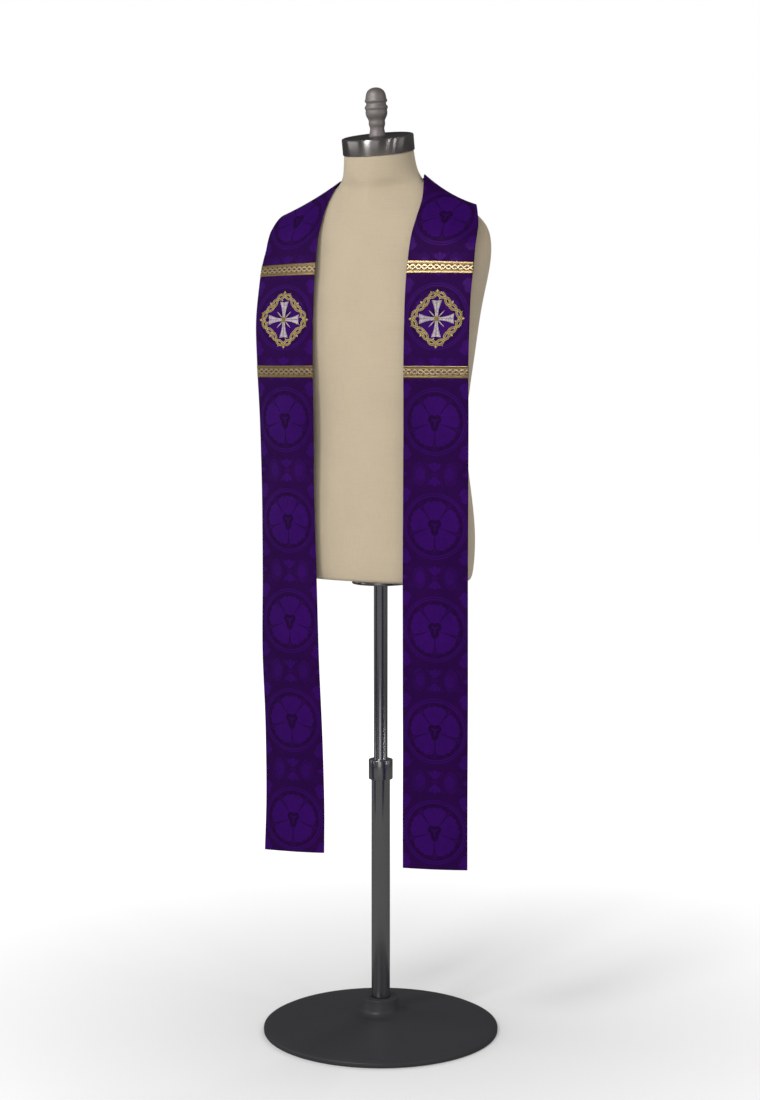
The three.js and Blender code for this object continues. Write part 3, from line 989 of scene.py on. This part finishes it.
@dataclass
class ClothHalf:
    """One half of the stole, from the seam at the nape to its hem."""

    side: Side
    thickness: float = 1.9
    step: float = 3.4
    cells_across: int = 36
    emblem_height: float = 1305.0
    ripple: float = 1.0
    edge_round: float = 0.55
    inner: list[Vector] = field(default_factory=list)
    outer: list[Vector] = field(default_factory=list)
    crown: list[float] = field(default_factory=list)

    def __post_init__(self) -> None:
        """Works out the two edges, station by station, and the flat cut."""
        sections = (*NAPE, *FRONTS[self.side])
        ends = [self.edges(section) for section in sections]
        inner_rail = Rail([pair[0] for pair in ends])
        outer_rail = Rail([pair[1] for pair in ends])
        for gap in range(len(sections) - 1):
            steps = math.ceil((ends[gap + 1][1] - ends[gap][1]).length / self.step)
            shares = [k / steps for k in range(steps)] + ([1.0] if gap == len(sections) - 2 else [])
            for share in shares:
                self.inner.append(inner_rail.at(gap, share))
                self.outer.append(outer_rail.at(gap, share))
                soft = share * share * (3 - 2 * share)
                low, high = sections[gap].crown, sections[gap + 1].crown
                self.crown.append(low + (high - low) * soft)
        self.unroll()

    def edges(self, section: Section) -> tuple[Vector, Vector]:
        """Gives the inner and outer ends of a section's width, before mirroring."""
        turn, fall = math.radians(section.heading), math.radians(section.drop)
        level = section.width * math.cos(fall)
        start = Vector((section.x, section.y, section.z))
        run = Vector((math.cos(turn) * level, math.sin(turn) * level, -section.width * math.sin(fall)))
        return start, start + run

    def unroll(self) -> None:
        """Lays the half flat, edge by edge, with its straight part upright under the emblem."""
        last = len(self.inner) - 1
        width = (self.outer[last] - self.inner[last]).length
        flat = [(Vector((0.0, 0.0)), Vector((width, 0.0)))]
        for i in range(last - 1, -1, -1):
            low_in, low_out = flat[-1]
            high_in = third_corner(
                low_in, low_out,
                (self.inner[i] - self.inner[i + 1]).length, (self.inner[i] - self.outer[i + 1]).length,
            )
            high_out = third_corner(
                high_in, low_out,
                (self.outer[i] - self.inner[i]).length, (self.outer[i] - self.outer[i + 1]).length,
            )
            flat.append((high_in, high_out))
        flat.reverse()
        middles = [(a + b) / 2 for a, b in flat]
        heights = [-point.z for point in self.inner]
        mark = bisect.bisect(heights, -self.emblem_height, lo=len(heights) // 6)
        upright = middles[mark] - middles[last]
        spin = Matrix.Rotation(math.atan2(upright.x, upright.y), 2)
        origin = spin @ middles[mark]
        self.flat = [(spin @ a - origin, spin @ b - origin) for a, b in flat]
        self.mark = mark
        self.ups = [-(spin @ middle - origin).y for middle in middles]

    @property
    def cut_size(self) -> tuple[float, float]:
        """The width and length of the box round the flat cut, in millimetres."""
        points = [point for pair in self.flat for point in pair]
        return tuple(max(p[i] for p in points) - min(p[i] for p in points) for i in (0, 1))

    @property
    def cut_area(self) -> float:
        """The area of the flat cut, in square millimetres."""
        ring = [pair[0] for pair in self.flat] + [pair[1] for pair in reversed(self.flat)]
        return abs(sum(a.cross(b) for a, b in zip(ring, ring[1:] + ring[:1]))) / 2

    def station(self, up: float) -> float:
        """Gives the station, with a fraction, that lies some millimetres above the emblem's middle."""
        place = bisect.bisect(self.ups, -up, lo=self.mark // 2)
        place = min(max(place, 1), len(self.ups) - 1)
        low, high = self.ups[place - 1], self.ups[place]
        return place - 1 + (-up - low) / (high - low)

    def wave(self, station: float, share: float) -> float:
        """Gives the cloth's own unevenness at a place, in millimetres out of the surface."""
        down = min(max(station / self.mark, 0.0), 1.0)
        x, y = share * FRONT_WIDTH, station * self.step
        seed = 11.3 * self.side.value
        slow = noise.noise(Vector((x / 95.0, y / 170.0, seed)))
        quick = noise.noise(Vector((x / 30.0, y / 75.0, seed + 5.0)))
        free = (slow * 1.25 + quick * 0.3) * self.ripple
        return free * down**2 + abs(free) * (1.0 - down**2) * 0.5

    def place(self, station: float, share: float, lift: float = 0.0) -> Vector:
        """Finds a place on or over the cloth.

        Args:
            station: How far along the half, in stations from the nape, with a fraction.
            share: How far across, from 0 at the inner edge to 1 at the outer one.
            lift: How far out of the cloth's base, in millimetres.

        Returns:
            The place in metres, in the object's frame.
        """
        top = len(self.inner) - 1
        first = min(max(int(station), 0), top - 1)
        rest = station - first
        inner = self.inner[first].lerp(self.inner[first + 1], rest)
        outer = self.outer[first].lerp(self.outer[first + 1], rest)
        crown = self.crown[first] + (self.crown[first + 1] - self.crown[first]) * rest
        ways = []
        for i in (first, first + 1):
            before, after = max(i - 1, 0), min(i + 1, top)
            way_in = self.inner[after] - self.inner[before]
            way = way_in.lerp(self.outer[after] - self.outer[before], share)
            ways.append(Vector((1, 0, 0)) if i == 0 else way.normalized())
        along = ways[0].lerp(ways[1], rest)
        normal = along.cross(outer - inner).normalized()
        out = crown * 4 * share * (1 - share) + self.wave(station, share) + lift
        spot = inner.lerp(outer, share) + normal * out
        spot.x *= self.side.value
        return spot * MM

    def spot(self, across: float, up: float, lift: float) -> Vector:
        """Finds a place by millimetres outwards and up from the emblem's middle."""
        station = self.station(up)
        width = (self.outer[int(station)] - self.inner[int(station)]).length
        return self.place(station, 0.5 + across / width, lift)

    def build(self, finishes: Finishes) -> bpy.types.Object:
        """Builds the half as a cloth shell.

        Args:
            finishes: The finishes of the object.

        Returns:
            The new piece.
        """
        name = f"stole_{self.side.name.lower()}"
        rows = len(self.inner) - 1

        def flat(x: float, y: float) -> Vector:
            """Finds a place on the flat cut."""
            low, high = self.flat[min(round((y + 0.5) * rows), rows)]
            return low.lerp(high, x + 0.5)

        def hung(x: float, y: float) -> Vector:
            """Finds a place on the cloth's face."""
            return self.place((y + 0.5) * rows, x + 0.5, self.thickness)

        shape = sheet_of((self.cells_across, rows), flat, hung, self.side is Side.LEFT)
        cloths = (finishes.brocade, finishes.plain_back)
        made = new_piece(name + "_cloth", shape, cloths, (name,))
        shell = made.modifiers.new("Thickness", "SOLIDIFY")
        shell.thickness = self.thickness * MM
        shell.offset = -1.0
        shell.material_offset = 1
        edge = made.modifiers.new("Pressed edges", "BEVEL")
        edge.width = self.edge_round * MM
        edge.segments = 2
        edge.limit_method = "ANGLE"
        edge.angle_limit = math.radians(50)
        return made

    def declare(
        self, cloth: bpy.types.Object
    ) -> None:
        """Says how the half's cloth was cut.

        Args:
            cloth: The built half.
        """
        width, length = self.cut_size
        width * MM
        length * MM
        self.cut_area * MM * MM
        LOG.info("%s cut: %.0f by %.0f mm, %.0f sq cm", cloth.name, width, length, self.cut_area / 100)


@dataclass
class GalloonBand:
    """A woven band sewn straight across a front."""

    half: ClothHalf
    place: str
    middle: float
    width: float = 21.4
    thickness: float = 0.8
    cell: float = 0.55
    gap: float = 0.05
    end_stretch: float = 1.007
    end_fall: float = 1.1

    def relief(self, plait: Plait, across: float, up: float) -> float:
        """Gives how far the weave stands up at a place, in millimetres."""
        border = 0.12 if abs(up) > plait.field_half + 0.8 else 0.0
        edge = max(0.0, (abs(up) - self.width / 2 + 0.5) / 0.5)
        return border + 0.16 * plait.strands(across, up) - 0.3 * edge

    def build(self, finishes: Finishes) -> bpy.types.Object:
        """Builds the band, which turns over the front's two edges."""
        name = f"band_{self.place}_{self.half.side.name.lower()}"
        cells = (round(FRONT_WIDTH / self.cell), round(self.width / self.cell))
        base = self.half.thickness + self.gap

        def flat(x: float, y: float) -> Vector:
            """Finds a place on the flat band."""
            return Vector((x * FRONT_WIDTH, y * self.width))

        def hung(x: float, y: float) -> Vector:
            """Finds a place on the band's face, or on the end that turns over the front's edge."""
            across, up = x * FRONT_WIDTH, y * self.width
            if abs(x) > 0.5 - 0.5 / cells[0]:
                across *= self.end_stretch
                return self.half.spot(across, self.middle + up, base - self.end_fall)
            lift = base + self.thickness + self.relief(finishes.plait, across, up)
            return self.half.spot(across, self.middle + up, lift)

        shape = sheet_of(cells, flat, hung, self.half.side is Side.RIGHT)
        piece = new_piece(name + "_braid", shape, (finishes.galloon,), (name,))
        shell = piece.modifiers.new("Thickness", "SOLIDIFY")
        shell.thickness = self.thickness * 0.8 * MM
        shell.offset = -1.0
        return piece


class Stitch(NamedTuple):
    """One stitch, from one needle hole to the other, in millimetres on the emblem's plane."""

    start: Vector
    end: Vector
    width: float
    arch: float
    lift: float
    tone: int


@dataclass
class Needlework:
    """Stitches on a front, gathered and then made as one joined piece."""

    half: ClothHalf
    name: str
    rng: random.Random
    stitches: list[Stitch] = field(default_factory=list)
    sides: int = 5
    parts: int = 4

    def satin(
        self,
        line: Sequence[Vector],
        half_widths: Sequence[float],
        tone: int,
        lifts: Sequence[float],
        slant: float = 0.35,
        thread: float = 0.62,
    ) -> None:
        """Lays satin stitches side by side across a line.

        Args:
            line: Close points along the line.
            half_widths: Half the stitches' reach at each point.
            tone: The material number.
            lifts: How far the stitches stand off the cloth at each point.
            slant: How far each stitch leans along the line.
            thread: The thread's width.
        """
        gone = 0.0
        for i in range(1, len(line)):
            step = (line[i] - line[i - 1]).length
            gone += step
            if gone < thread * 0.8 or half_widths[i] < 0.15:
                continue
            gone = 0.0
            way = (line[i] - line[i - 1]).normalized()
            side = left_of(way)
            reach = (side + way * slant) * half_widths[i] * self.rng.uniform(0.95, 1.06)
            arch = 0.25 + 0.22 * half_widths[i]
            self.stitches.append(
                Stitch(line[i] - reach, line[i] + reach, thread, arch, lifts[i], tone)
            )

    def outline(
        self,
        line: Sequence[Vector],
        lifts: Sequence[float],
        offset: float = 0.0,
        reach: int = 3,
        thread: float = 0.75,
        arch: float = 0.12,
    ) -> None:
        """Lays a line of long stitches, in the second tone, beside a line.

        Args:
            line: Close points along the line.
            lifts: How far the stitches stand off the cloth at each point.
            offset: How far to the line's left they lie.
            reach: How many points each stitch spans.
            thread: The thread's width.
            arch: How far the middle of a stitch rises.
        """
        for i in range(0, len(line) - reach, reach):
            side = left_of((line[i + reach] - line[i]).normalized()) * offset
            self.stitches.append(
                Stitch(line[i] + side, line[i + reach] + side, thread, arch, lifts[i], 1)
            )

    def leaf(self, root: Vector, tip: Vector, half_width: float, tone: int, lift: float) -> None:
        """Fills a small leaf with stitches that lean towards its tip."""
        count = max(5, round((tip - root).length / 0.45))
        line = [root.lerp(tip, k / count) for k in range(count + 1)]
        widths = [half_width * math.sin(math.pi * (0.12 + 0.88 * k / count)) for k in range(count + 1)]
        self.satin(line, widths, tone, [lift] * (count + 1), slant=0.6, thread=0.5)

    def template(self) -> bpy.types.Mesh:
        """Makes one straight stitch of unit size to copy."""
        shape = bmesh.new()
        bmesh.ops.create_cone(
            shape, cap_ends=True, segments=self.sides, radius1=0.5, radius2=0.5, depth=1.0
        )
        for k in range(1, self.parts):
            bmesh.ops.bisect_plane(
                shape, geom=shape.verts[:] + shape.edges[:] + shape.faces[:],
                plane_co=(0, 0, k / self.parts - 0.5), plane_no=(0, 0, 1),
            )
        mesh = bpy.data.meshes.new("stitch")
        shape.to_mesh(mesh)
        shape.free()
        return mesh

    def build(
        self, finishes: Sequence[bpy.types.Material], replaced: str, slot: str
    ) -> bpy.types.Object:
        """Makes every stitch from one template and joins them as a piece."""
        template = self.template()
        shape = bmesh.new()
        for _ in self.stitches:
            shape.from_mesh(template)
        count = len(template.vertices)
        faces = len(template.polygons)
        shade = shape.verts.layers.float.new("Shade")
        tones = [self.rng.random() for _ in self.stitches]
        base = self.half.thickness
        for i, vert in enumerate(shape.verts):
            stitch = self.stitches[i // count]
            along = vert.co.z + 0.5
            way = stitch.end - stitch.start
            side = left_of(way).normalized()
            swell = 0.45 + 0.55 * math.sin(math.pi * along) ** 0.5 if 0.0 < along < 1.0 else 0.4
            flat = stitch.start + way * along + side * (vert.co.x * stitch.width * swell)
            rise = math.sin(math.pi * along) * stitch.arch + vert.co.y * stitch.width * 0.8 * swell
            vert.co = self.half.spot(flat.x, flat.y, base + stitch.lift + rise + 0.15)
            vert[shade] = tones[i // count]
        for i, face in enumerate(shape.faces):
            face.material_index = self.stitches[i // faces].tone
        if self.half.side is Side.LEFT:
            bmesh.ops.reverse_faces(shape, faces=shape.faces)
        bpy.data.meshes.remove(template)
        LOG.info("%s: %d stitches", self.name, len(self.stitches))
        return new_piece(self.name, shape, finishes, (replaced,))


@dataclass
class Emblem:
    """A stitched emblem: a quatrefoil frame of two plaited strands round a flared cross."""

    half: ClothHalf
    lobe_radius: float = 21.5
    lobe_offset: float = 20.5
    strand: float = 1.6
    swing: float = 3.8
    crossings: int = 16
    cross_reach: float = 31.0

    def frame_line(self, count: int) -> list[Vector]:
        """Gives evenly spaced points round the quatrefoil."""
        meet = math.acos(self.lobe_offset / math.sqrt(2) / self.lobe_radius)
        reach = 3 * math.pi / 4 - meet
        points = []
        for lobe in range(4):
            way = lobe * math.pi / 2
            centre = towards(way) * self.lobe_offset
            for k in range(count // 4):
                angle = way - reach + 2 * reach * k / (count // 4)
                points.append(centre + towards(angle) * self.lobe_radius)
        for _ in range(6):
            points = [
                (points[i - 1] + point * 2 + points[(i + 1) % len(points)]) / 4
                for i, point in enumerate(points)
            ]
        return points

    def frame(self, finishes: Finishes, rng: random.Random) -> bpy.types.Object:
        """Stitches the gold frame with its buds and leaves."""
        side = self.half.side.name.lower()
        work = Needlework(self.half, f"emblem_frame_{side}_stitches", rng)
        line = self.frame_line(960)
        count = len(line)
        for strand in (0, 1):
            path, lifts = [], []
            for i in range(count + 1):
                here, after = line[i % count], line[(i + 1) % count]
                way = (after - here).normalized()
                phase = math.pi * (self.crossings * i / count + strand)
                path.append(here + left_of(way) * self.swing * math.sin(phase))
                lifts.append(0.35 + 0.35 * math.cos(phase))
            self.strand_stitches(work, path, lifts)
        self.buds(work)
        self.leaves(work, line)
        return work.build((finishes.gold, finishes.pale_gold), f"emblem_frame_{side}", "gold_thread")

    def strand_stitches(self, work: Needlework, path: list[Vector], lifts: list[float]) -> None:
        """Stitches one strand of the frame, with a paler line along each edge."""
        work.satin(path, [self.strand] * len(path), 0, lifts)
        raised = [lift + 0.2 for lift in lifts]
        for edge in (-1, 1):
            work.outline(path, raised, self.strand * edge, reach=9, thread=0.85, arch=0.1)

    def buds(self, work: Needlework) -> None:
        """Stitches a three-lobed bud outside each lobe and each corner of the frame."""
        for k in range(8):
            way = k * math.pi / 4
            out = towards(way)
            root = out * (self.lobe_offset + self.lobe_radius + 3.6 if k % 2 == 0 else 37.5)
            for lean in (-0.75, 0.0, 0.75):
                tip = Matrix.Rotation(lean, 2) @ out * (5.4 if lean == 0.0 else 4.4)
                work.leaf(root, root + tip, 1.35, 1 if lean == 0.0 else 0, 0.35)

    def leaves(self, work: Needlework, line: list[Vector]) -> None:
        """Stitches small leaves off the strands, outwards and inwards by turns."""
        count = len(line)
        for k in range(self.crossings):
            i = round((k + 0.5) * count / self.crossings) % count
            if (k % (self.crossings // 4)) in (0, self.crossings // 4 - 1):
                continue
            way = (line[(i + 4) % count] - line[i]).normalized()
            outward = left_of(way) * (-1 if k % 2 == 0 else 1)
            root = line[i] + outward * (self.swing + self.strand * 0.7)
            work.leaf(root, root + outward * 3.6 + way * 2.2, 1.0, k % 2, 0.25)

    def cross(self, finishes: Finishes, rng: random.Random) -> bpy.types.Object:
        """Stitches the silver cross with its rays and its gold boss."""
        side = self.half.side.name.lower()
        work = Needlework(self.half, f"emblem_cross_{side}_stitches", rng)
        for quarter in range(4):
            out = Matrix.Rotation(quarter * math.pi / 2, 2) @ Vector((0.0, 1.0))
            ray = Matrix.Rotation(math.pi / 4, 2) @ out
            steps = 90
            line = [out * (3.0 + (self.cross_reach - 3.0) * k / steps) for k in range(steps + 1)]
            flare = [2.3 + 6.6 * (k / steps) ** 2.2 for k in range(steps + 1)]
            aside = left_of(out)
            for half_side in (-0.5, 0.5):
                path = [p + aside * w * half_side for p, w in zip(line, flare)]
                work.satin(path, [w * 0.5 for w in flare], 0, [0.3] * (steps + 1), half_side * 0.8)
            for edge in (-1, 1):
                rim = [p + aside * w * edge for p, w in zip(line[::4], flare[::4])]
                work.outline(rim, [0.45] * len(rim))
            shares = [k / 6 - 1 for k in range(13)]
            ends = [line[-1] + aside * flare[-1] * s - out * 1.6 * (1 - abs(s)) for s in shares]
            work.outline(ends, [0.5] * len(ends))
            work.leaf(ray * 5.0, ray * 21.0, 1.0, 0, 0.25)
        for ring, lift in ((3.6, 0.7), (1.5, 1.1)):
            around = [towards(k * math.pi / 24) * ring for k in range(49)]
            work.satin(around, [1.3] * 49, 2, [lift] * 49, 0.2, 0.55)
        return work.build(
            (finishes.silver, finishes.silver, finishes.gold), f"emblem_cross_{side}", "silver_thread"
        )


@dataclass
class Stole:
    """The whole stole: two halves with their bands and emblems."""

    band_middles: tuple[tuple[str, float], ...] = (("upper", 89.3), ("lower", -91.7))

    def build(self, finishes: Finishes) -> None:
        """Builds both halves and what is sewn to them."""
        for side in Side:
            half = ClothHalf(side)
            cloth = half.build(finishes)
            sewn_on = [
                GalloonBand(half, place, middle).build(finishes) for place, middle in self.band_middles
            ]
            emblem = Emblem(half)
            rng = random.Random(7 + side.value)
            sewn_on += [emblem.frame(finishes, rng), emblem.cross(finishes, rng)]
            half.declare(cloth)


# ---------------------------------------------------------------- the dress form


@dataclass
class DressForm:
    """The linen torso with its neck cap and finial, on a pole with a round base."""

    neck_lean: float = 12.0
    finial_lean: float = 6.0
    cap_radius: float = 64 * MM
    cap_height: float = 29 * MM
    finial_outline: tuple[tuple[float, float], ...] = (
        (15.6, -4.0), (14.8, 2.0), (14.4, 4.0), (13.3, 8.0), (12.6, 13.0), (13.6, 17.0), (14.6, 20.0),
        (14.6, 24.0), (14.2, 26.0), (15.8, 30.0), (18.0, 34.0), (19.2, 38.0), (19.4, 42.0),
        (18.8, 44.5), (19.6, 46.5), (20.8, 49.0), (20.0, 51.5), (17.9, 54.0), (17.6, 57.0),
        (19.2, 58.8), (20.0, 60.5), (19.8, 62.5), (18.6, 64.5), (18.2, 68.0), (17.2, 73.0),
        (15.0, 77.5), (11.6, 80.8), (7.0, 83.2), (2.5, 84.0),
    )

    def torso(self, finishes: Finishes) -> bpy.types.Object:
        """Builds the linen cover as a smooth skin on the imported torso."""
        shape = bmesh.new()
        shape.from_mesh(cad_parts["form_torso"].data)
        for layer in list(shape.loops.layers.uv):
            shape.loops.layers.uv.remove(layer)
        bmesh.ops.remove_doubles(shape, verts=shape.verts, dist=1e-5)
        bmesh.ops.join_triangles(
            shape, faces=shape.faces, angle_face_threshold=math.radians(40),
            angle_shape_threshold=math.radians(40),
        )
        wrap(shape)
        crease = shape.edges.layers.float.new("crease_edge")
        for edge in shape.edges:
            if len(edge.link_faces) == 2 and edge.calc_face_angle() > math.radians(55):
                edge[crease] = 1.0
        piece = new_piece(
            "form_torso_cover", shape, (finishes.linen,), ("form_torso",)
        )
        smooth = piece.modifiers.new("Smooth", "SUBSURF")
        smooth.levels = smooth.render_levels = 3
        return piece

    def on_neck(self, shape: bmesh.types.BMesh, lift: float, lean: float = 0.0) -> None:
        """Moves an upright shape onto the neck's leaning top."""
        low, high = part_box("form_neck_cap")
        centre = (low + high) / 2
        tilt = Matrix.Rotation(math.radians(self.neck_lean), 4, "X")
        foot = Matrix.Translation(centre) @ tilt @ Matrix.Translation((0, 0, -self.cap_height / 2 + lift))
        own = Matrix.Rotation(math.radians(-lean), 4, "X")
        bmesh.ops.transform(shape, matrix=foot @ own, verts=shape.verts)

    def cap(self, finishes: Finishes) -> bpy.types.Object:
        """Builds the neck cap: a brushed band with a rolled edge round a top of the same steel, painted
        dark as a painted reflection of dark surroundings.
        """
        r, h = self.cap_radius, self.cap_height
        lip = 1.6 * MM
        outline = [
            (0.0, 0.0), (r - lip, 0.0), (r, lip * 0.6), (r, h - 2.4 * MM), (r - 0.7 * MM, h - 0.7 * MM),
            (r - 2.4 * MM, h), (r - 4.4 * MM, h - 0.2 * MM), (r - 5.2 * MM, h - 0.9 * MM),
            (r * 0.5, h - 0.6 * MM), (0.0, h - 0.4 * MM),
        ]
        shape = turned(outline, 120)
        # the top's faces take the steel painted dark, a painted reflection of dark surroundings
        for face in shape.faces:
            middle = face.calc_center_median()
            if middle.xy.length < r - 4.6 * MM and middle.z > h / 2:
                face.material_index = 1
        self.on_neck(shape, 0.0)
        return new_piece(
            "form_neck_cap_band", shape, (finishes.cap_band, finishes.painted_dark_cap_top), ("form_neck_cap",),
        )

    def finial(self, finishes: Finishes) -> bpy.types.Object:
        """Builds the cast finial with its rings and round head."""
        outline = [(r * MM, h * MM) for r, h in self.finial_outline]
        shape = turned([(0.0, -4.0 * MM), *outline, (0.0, 84.1 * MM)], 64)
        self.on_neck(shape, self.cap_height, self.finial_lean)
        return new_piece("form_finial_casting", shape, (finishes.cast,), ("form_finial",))

    def pole(self, finishes: Finishes) -> bpy.types.Object:
        """Builds the two-part pole with its clamp collar and top flange."""
        low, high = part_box("form_pole")
        lower, upper, collar = 17 * MM, 12.5 * MM, 22 * MM
        split, collar_high, flange = 470 * MM, 36 * MM, 6 * MM
        outline = [
            (0, low.z), (lower, low.z), (lower, split), (collar, split), (collar, split + collar_high),
            (upper, split + collar_high), (upper, high.z - flange), (high.x, high.z - flange),
            (high.x, high.z), (0, high.z),
        ]
        shape = turned(outline, 56)
        rounded(shape, 0.9 * MM, 2, 60.0)
        return new_piece("form_pole_tube", shape, (finishes.chrome,), ("form_pole",))

    def base(self, finishes: Finishes) -> bpy.types.Object:
        """Builds the domed round base with its hub."""
        low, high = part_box("form_base")
        radius, top = high.x, high.z
        rim, dome, hub = 8 * MM, 34 * MM, 34 * MM
        bore, socket = 17.3 * MM, top - 40 * MM
        outline = [(0.0, 0.0), (radius, 0.0), (radius, rim)]
        steps = 22
        for k in range(1, steps + 1):
            share = k / steps
            outline.append((radius + (hub + 6 * MM - radius) * share, rim + (dome - rim) * share**0.6))
        outline += [(hub, dome + 8 * MM), (hub, top), (bore, top), (bore, socket), (0.0, socket)]
        shape = turned(outline, 128)
        rounded(shape, 1.6 * MM, 3, 50.0)
        return new_piece("form_base_plate", shape, (finishes.paint,), ("form_base",))

    def build(self, finishes: Finishes) -> None:
        """Builds every part of the form."""
        self.torso(finishes)
        self.cap(finishes)
        self.finial(finishes)
        self.pole(finishes)
        self.base(finishes)


# ---------------------------------------------------------------- the studio


@dataclass(frozen=True)
class SoftBox:
    """A studio light that faces the object."""

    name: str
    azimuth: float
    elevation: float
    distance: float
    size: tuple[float, float]
    power: float
    target: float = 1.2
    mirrored: bool = True

    def place(self) -> None:
        """Adds the light, turned to a point on the object's axis."""
        turn, rise = math.radians(self.azimuth), math.radians(self.elevation)
        level = self.distance * math.cos(rise)
        spot = Vector((math.sin(turn) * level, -math.cos(turn) * level, self.target))
        spot.z += self.distance * math.sin(rise)
        light = bpy.data.lights.new(self.name, "AREA")
        light.shape = "RECTANGLE"
        light.size, light.size_y = self.size
        light.energy = self.power
        lamp = bpy.data.objects.new(self.name, light)
        lamp.visible_camera = False
        lamp.visible_glossy = self.mirrored
        bpy.context.scene.collection.objects.link(lamp)
        aim = Vector((0.0, 0.0, self.target)) - spot
        lamp.location = spot
        lamp.rotation_euler = aim.to_track_quat("-Z", "Y").to_euler()


@dataclass
class Studio:
    """The pale floor, the soft lights and the camera."""

    floor_radius: float = 40.0
    clear_radius: float = 2.2
    camera_place: tuple[float, float, float] = (1.5767, -3.3845, 1.25)
    camera_turn: float = 25.0
    camera_dip: float = 5.51
    lens: float = 67.81

    def build(self) -> None:
        """Sets up the floor, world, lights and camera."""
        self.floor()
        self.world()
        for light in (
            SoftBox("Key", -12, 28, 3.4, (0.8, 0.9), 42, target=1.35),
            SoftBox("Front", 18, 10, 4.2, (2.2, 2.2), 36, mirrored=False),
            SoftBox("Left side", -75, 10, 3.8, (1.6, 2.2), 12, mirrored=False),
            SoftBox("Left panel", -64, 8, 3.8, (3.0, 2.2), 13),
            SoftBox("Front panel", 14, 4, 4.0, (1.7, 2.2), 6),
            SoftBox("Right strip", 58, 12, 3.6, (0.14, 2.0), 5),
            SoftBox("Far right strip", 80, 12, 3.6, (0.2, 2.0), 6),
            SoftBox("Right panel", 104, 8, 3.8, (1.4, 2.2), 2.8),
            SoftBox("Back", 175, 25, 3.8, (1.8, 1.8), 45, mirrored=False),
        ):
            light.place()
        self.camera()

    def floor(self) -> None:
        """Lays the pale floor, which fades into the white surround."""
        shape = bmesh.new()
        below = Matrix.Translation((0.0, 0.0, -0.5 * MM))
        bmesh.ops.create_circle(
            shape, cap_ends=True, segments=96, radius=self.floor_radius, matrix=below
        )
        mesh = bpy.data.meshes.new("floor")
        shape.to_mesh(mesh)
        shape.free()
        made, graph, shader = material("Floor")
        place = graph.node("TexCoord").outputs["Object"]
        dust = graph.cloud(place, 1.3, 3.0)
        away = graph.node("VectorMath", operation="LENGTH")
        graph.feed(away.inputs[0], place)
        away = Field(graph, away.outputs["Value"])
        fade = graph.math("MULTIPLY_ADD", away, 1.0 / self.clear_radius, 0.1, clamp=True)
        path = graph.node("LightPath")
        fade = fade * Field(graph, path.outputs["Is Camera Ray"])
        pale = graph.mixed(dust, (0.80, 0.80, 0.80), (0.84, 0.84, 0.84))
        mirrored = Field(graph, path.outputs["Is Glossy Ray"])
        graph.feed(shader.inputs["Base Color"], graph.mixed(mirrored, pale, (0.16, 0.16, 0.16)))
        graph.feed(shader.inputs["Emission Color"], graph.scaled((1.0, 1.0, 1.0), fade))
        shader.inputs["Emission Strength"].default_value = 0.8
        shader.inputs["Roughness"].default_value = 0.9
        mesh.materials.append(made)
        floor = bpy.data.objects.new("floor", mesh)
        bpy.context.scene.collection.objects.link(floor)

    def world(self) -> None:
        """Gives the world a plain white look, soft light for cloth and less for shiny things."""
        world = bpy.data.worlds.new("Studio")
        bpy.context.scene.world = world
        world.use_nodes = True
        graph = Graph(world.node_tree)
        path = graph.node("LightPath")
        seen, soft, mirrored = (graph.node("Background") for _ in range(3))
        for light, strength in ((seen, 1.0), (soft, 0.27), (mirrored, 0.07)):
            light.inputs["Color"].default_value = (1.0, 1.0, 1.0, 1.0)
            light.inputs["Strength"].default_value = strength
        unseen = graph.node("MixShader")
        graph.feed(unseen.inputs[0], path.outputs["Is Glossy Ray"])
        graph.feed(unseen.inputs[1], soft.outputs[0])
        graph.feed(unseen.inputs[2], mirrored.outputs[0])
        choose = graph.node("MixShader")
        graph.feed(choose.inputs[0], path.outputs["Is Camera Ray"])
        graph.feed(choose.inputs[1], unseen.outputs[0])
        graph.feed(choose.inputs[2], seen.outputs[0])
        graph.feed(graph.node("OutputWorld").inputs["Surface"], choose.outputs[0])

    def camera(self) -> None:
        """Places the camera."""
        data = bpy.data.cameras.new("Camera")
        data.lens = self.lens
        camera = bpy.data.objects.new("Camera", data)
        camera.location = self.camera_place
        camera.rotation_euler = (
            math.radians(90 - self.camera_dip), 0.0, math.radians(self.camera_turn)
        )
        bpy.context.scene.collection.objects.link(camera)
        bpy.context.scene.camera = camera
        bpy.context.scene.view_settings.view_transform = "Standard"


def main() -> None:
    """Builds the studio, the form and the stole, and logs the pieces' face counts and the stole's cut
    sizes.
    """
    logging.basicConfig(level=logging.INFO, format="%(name)s %(message)s")
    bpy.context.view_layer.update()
    Studio().build()
    finishes = Finishes()
    DressForm().build(finishes)
    Stole().build(finishes)


if __name__ == "__main__":
    main()
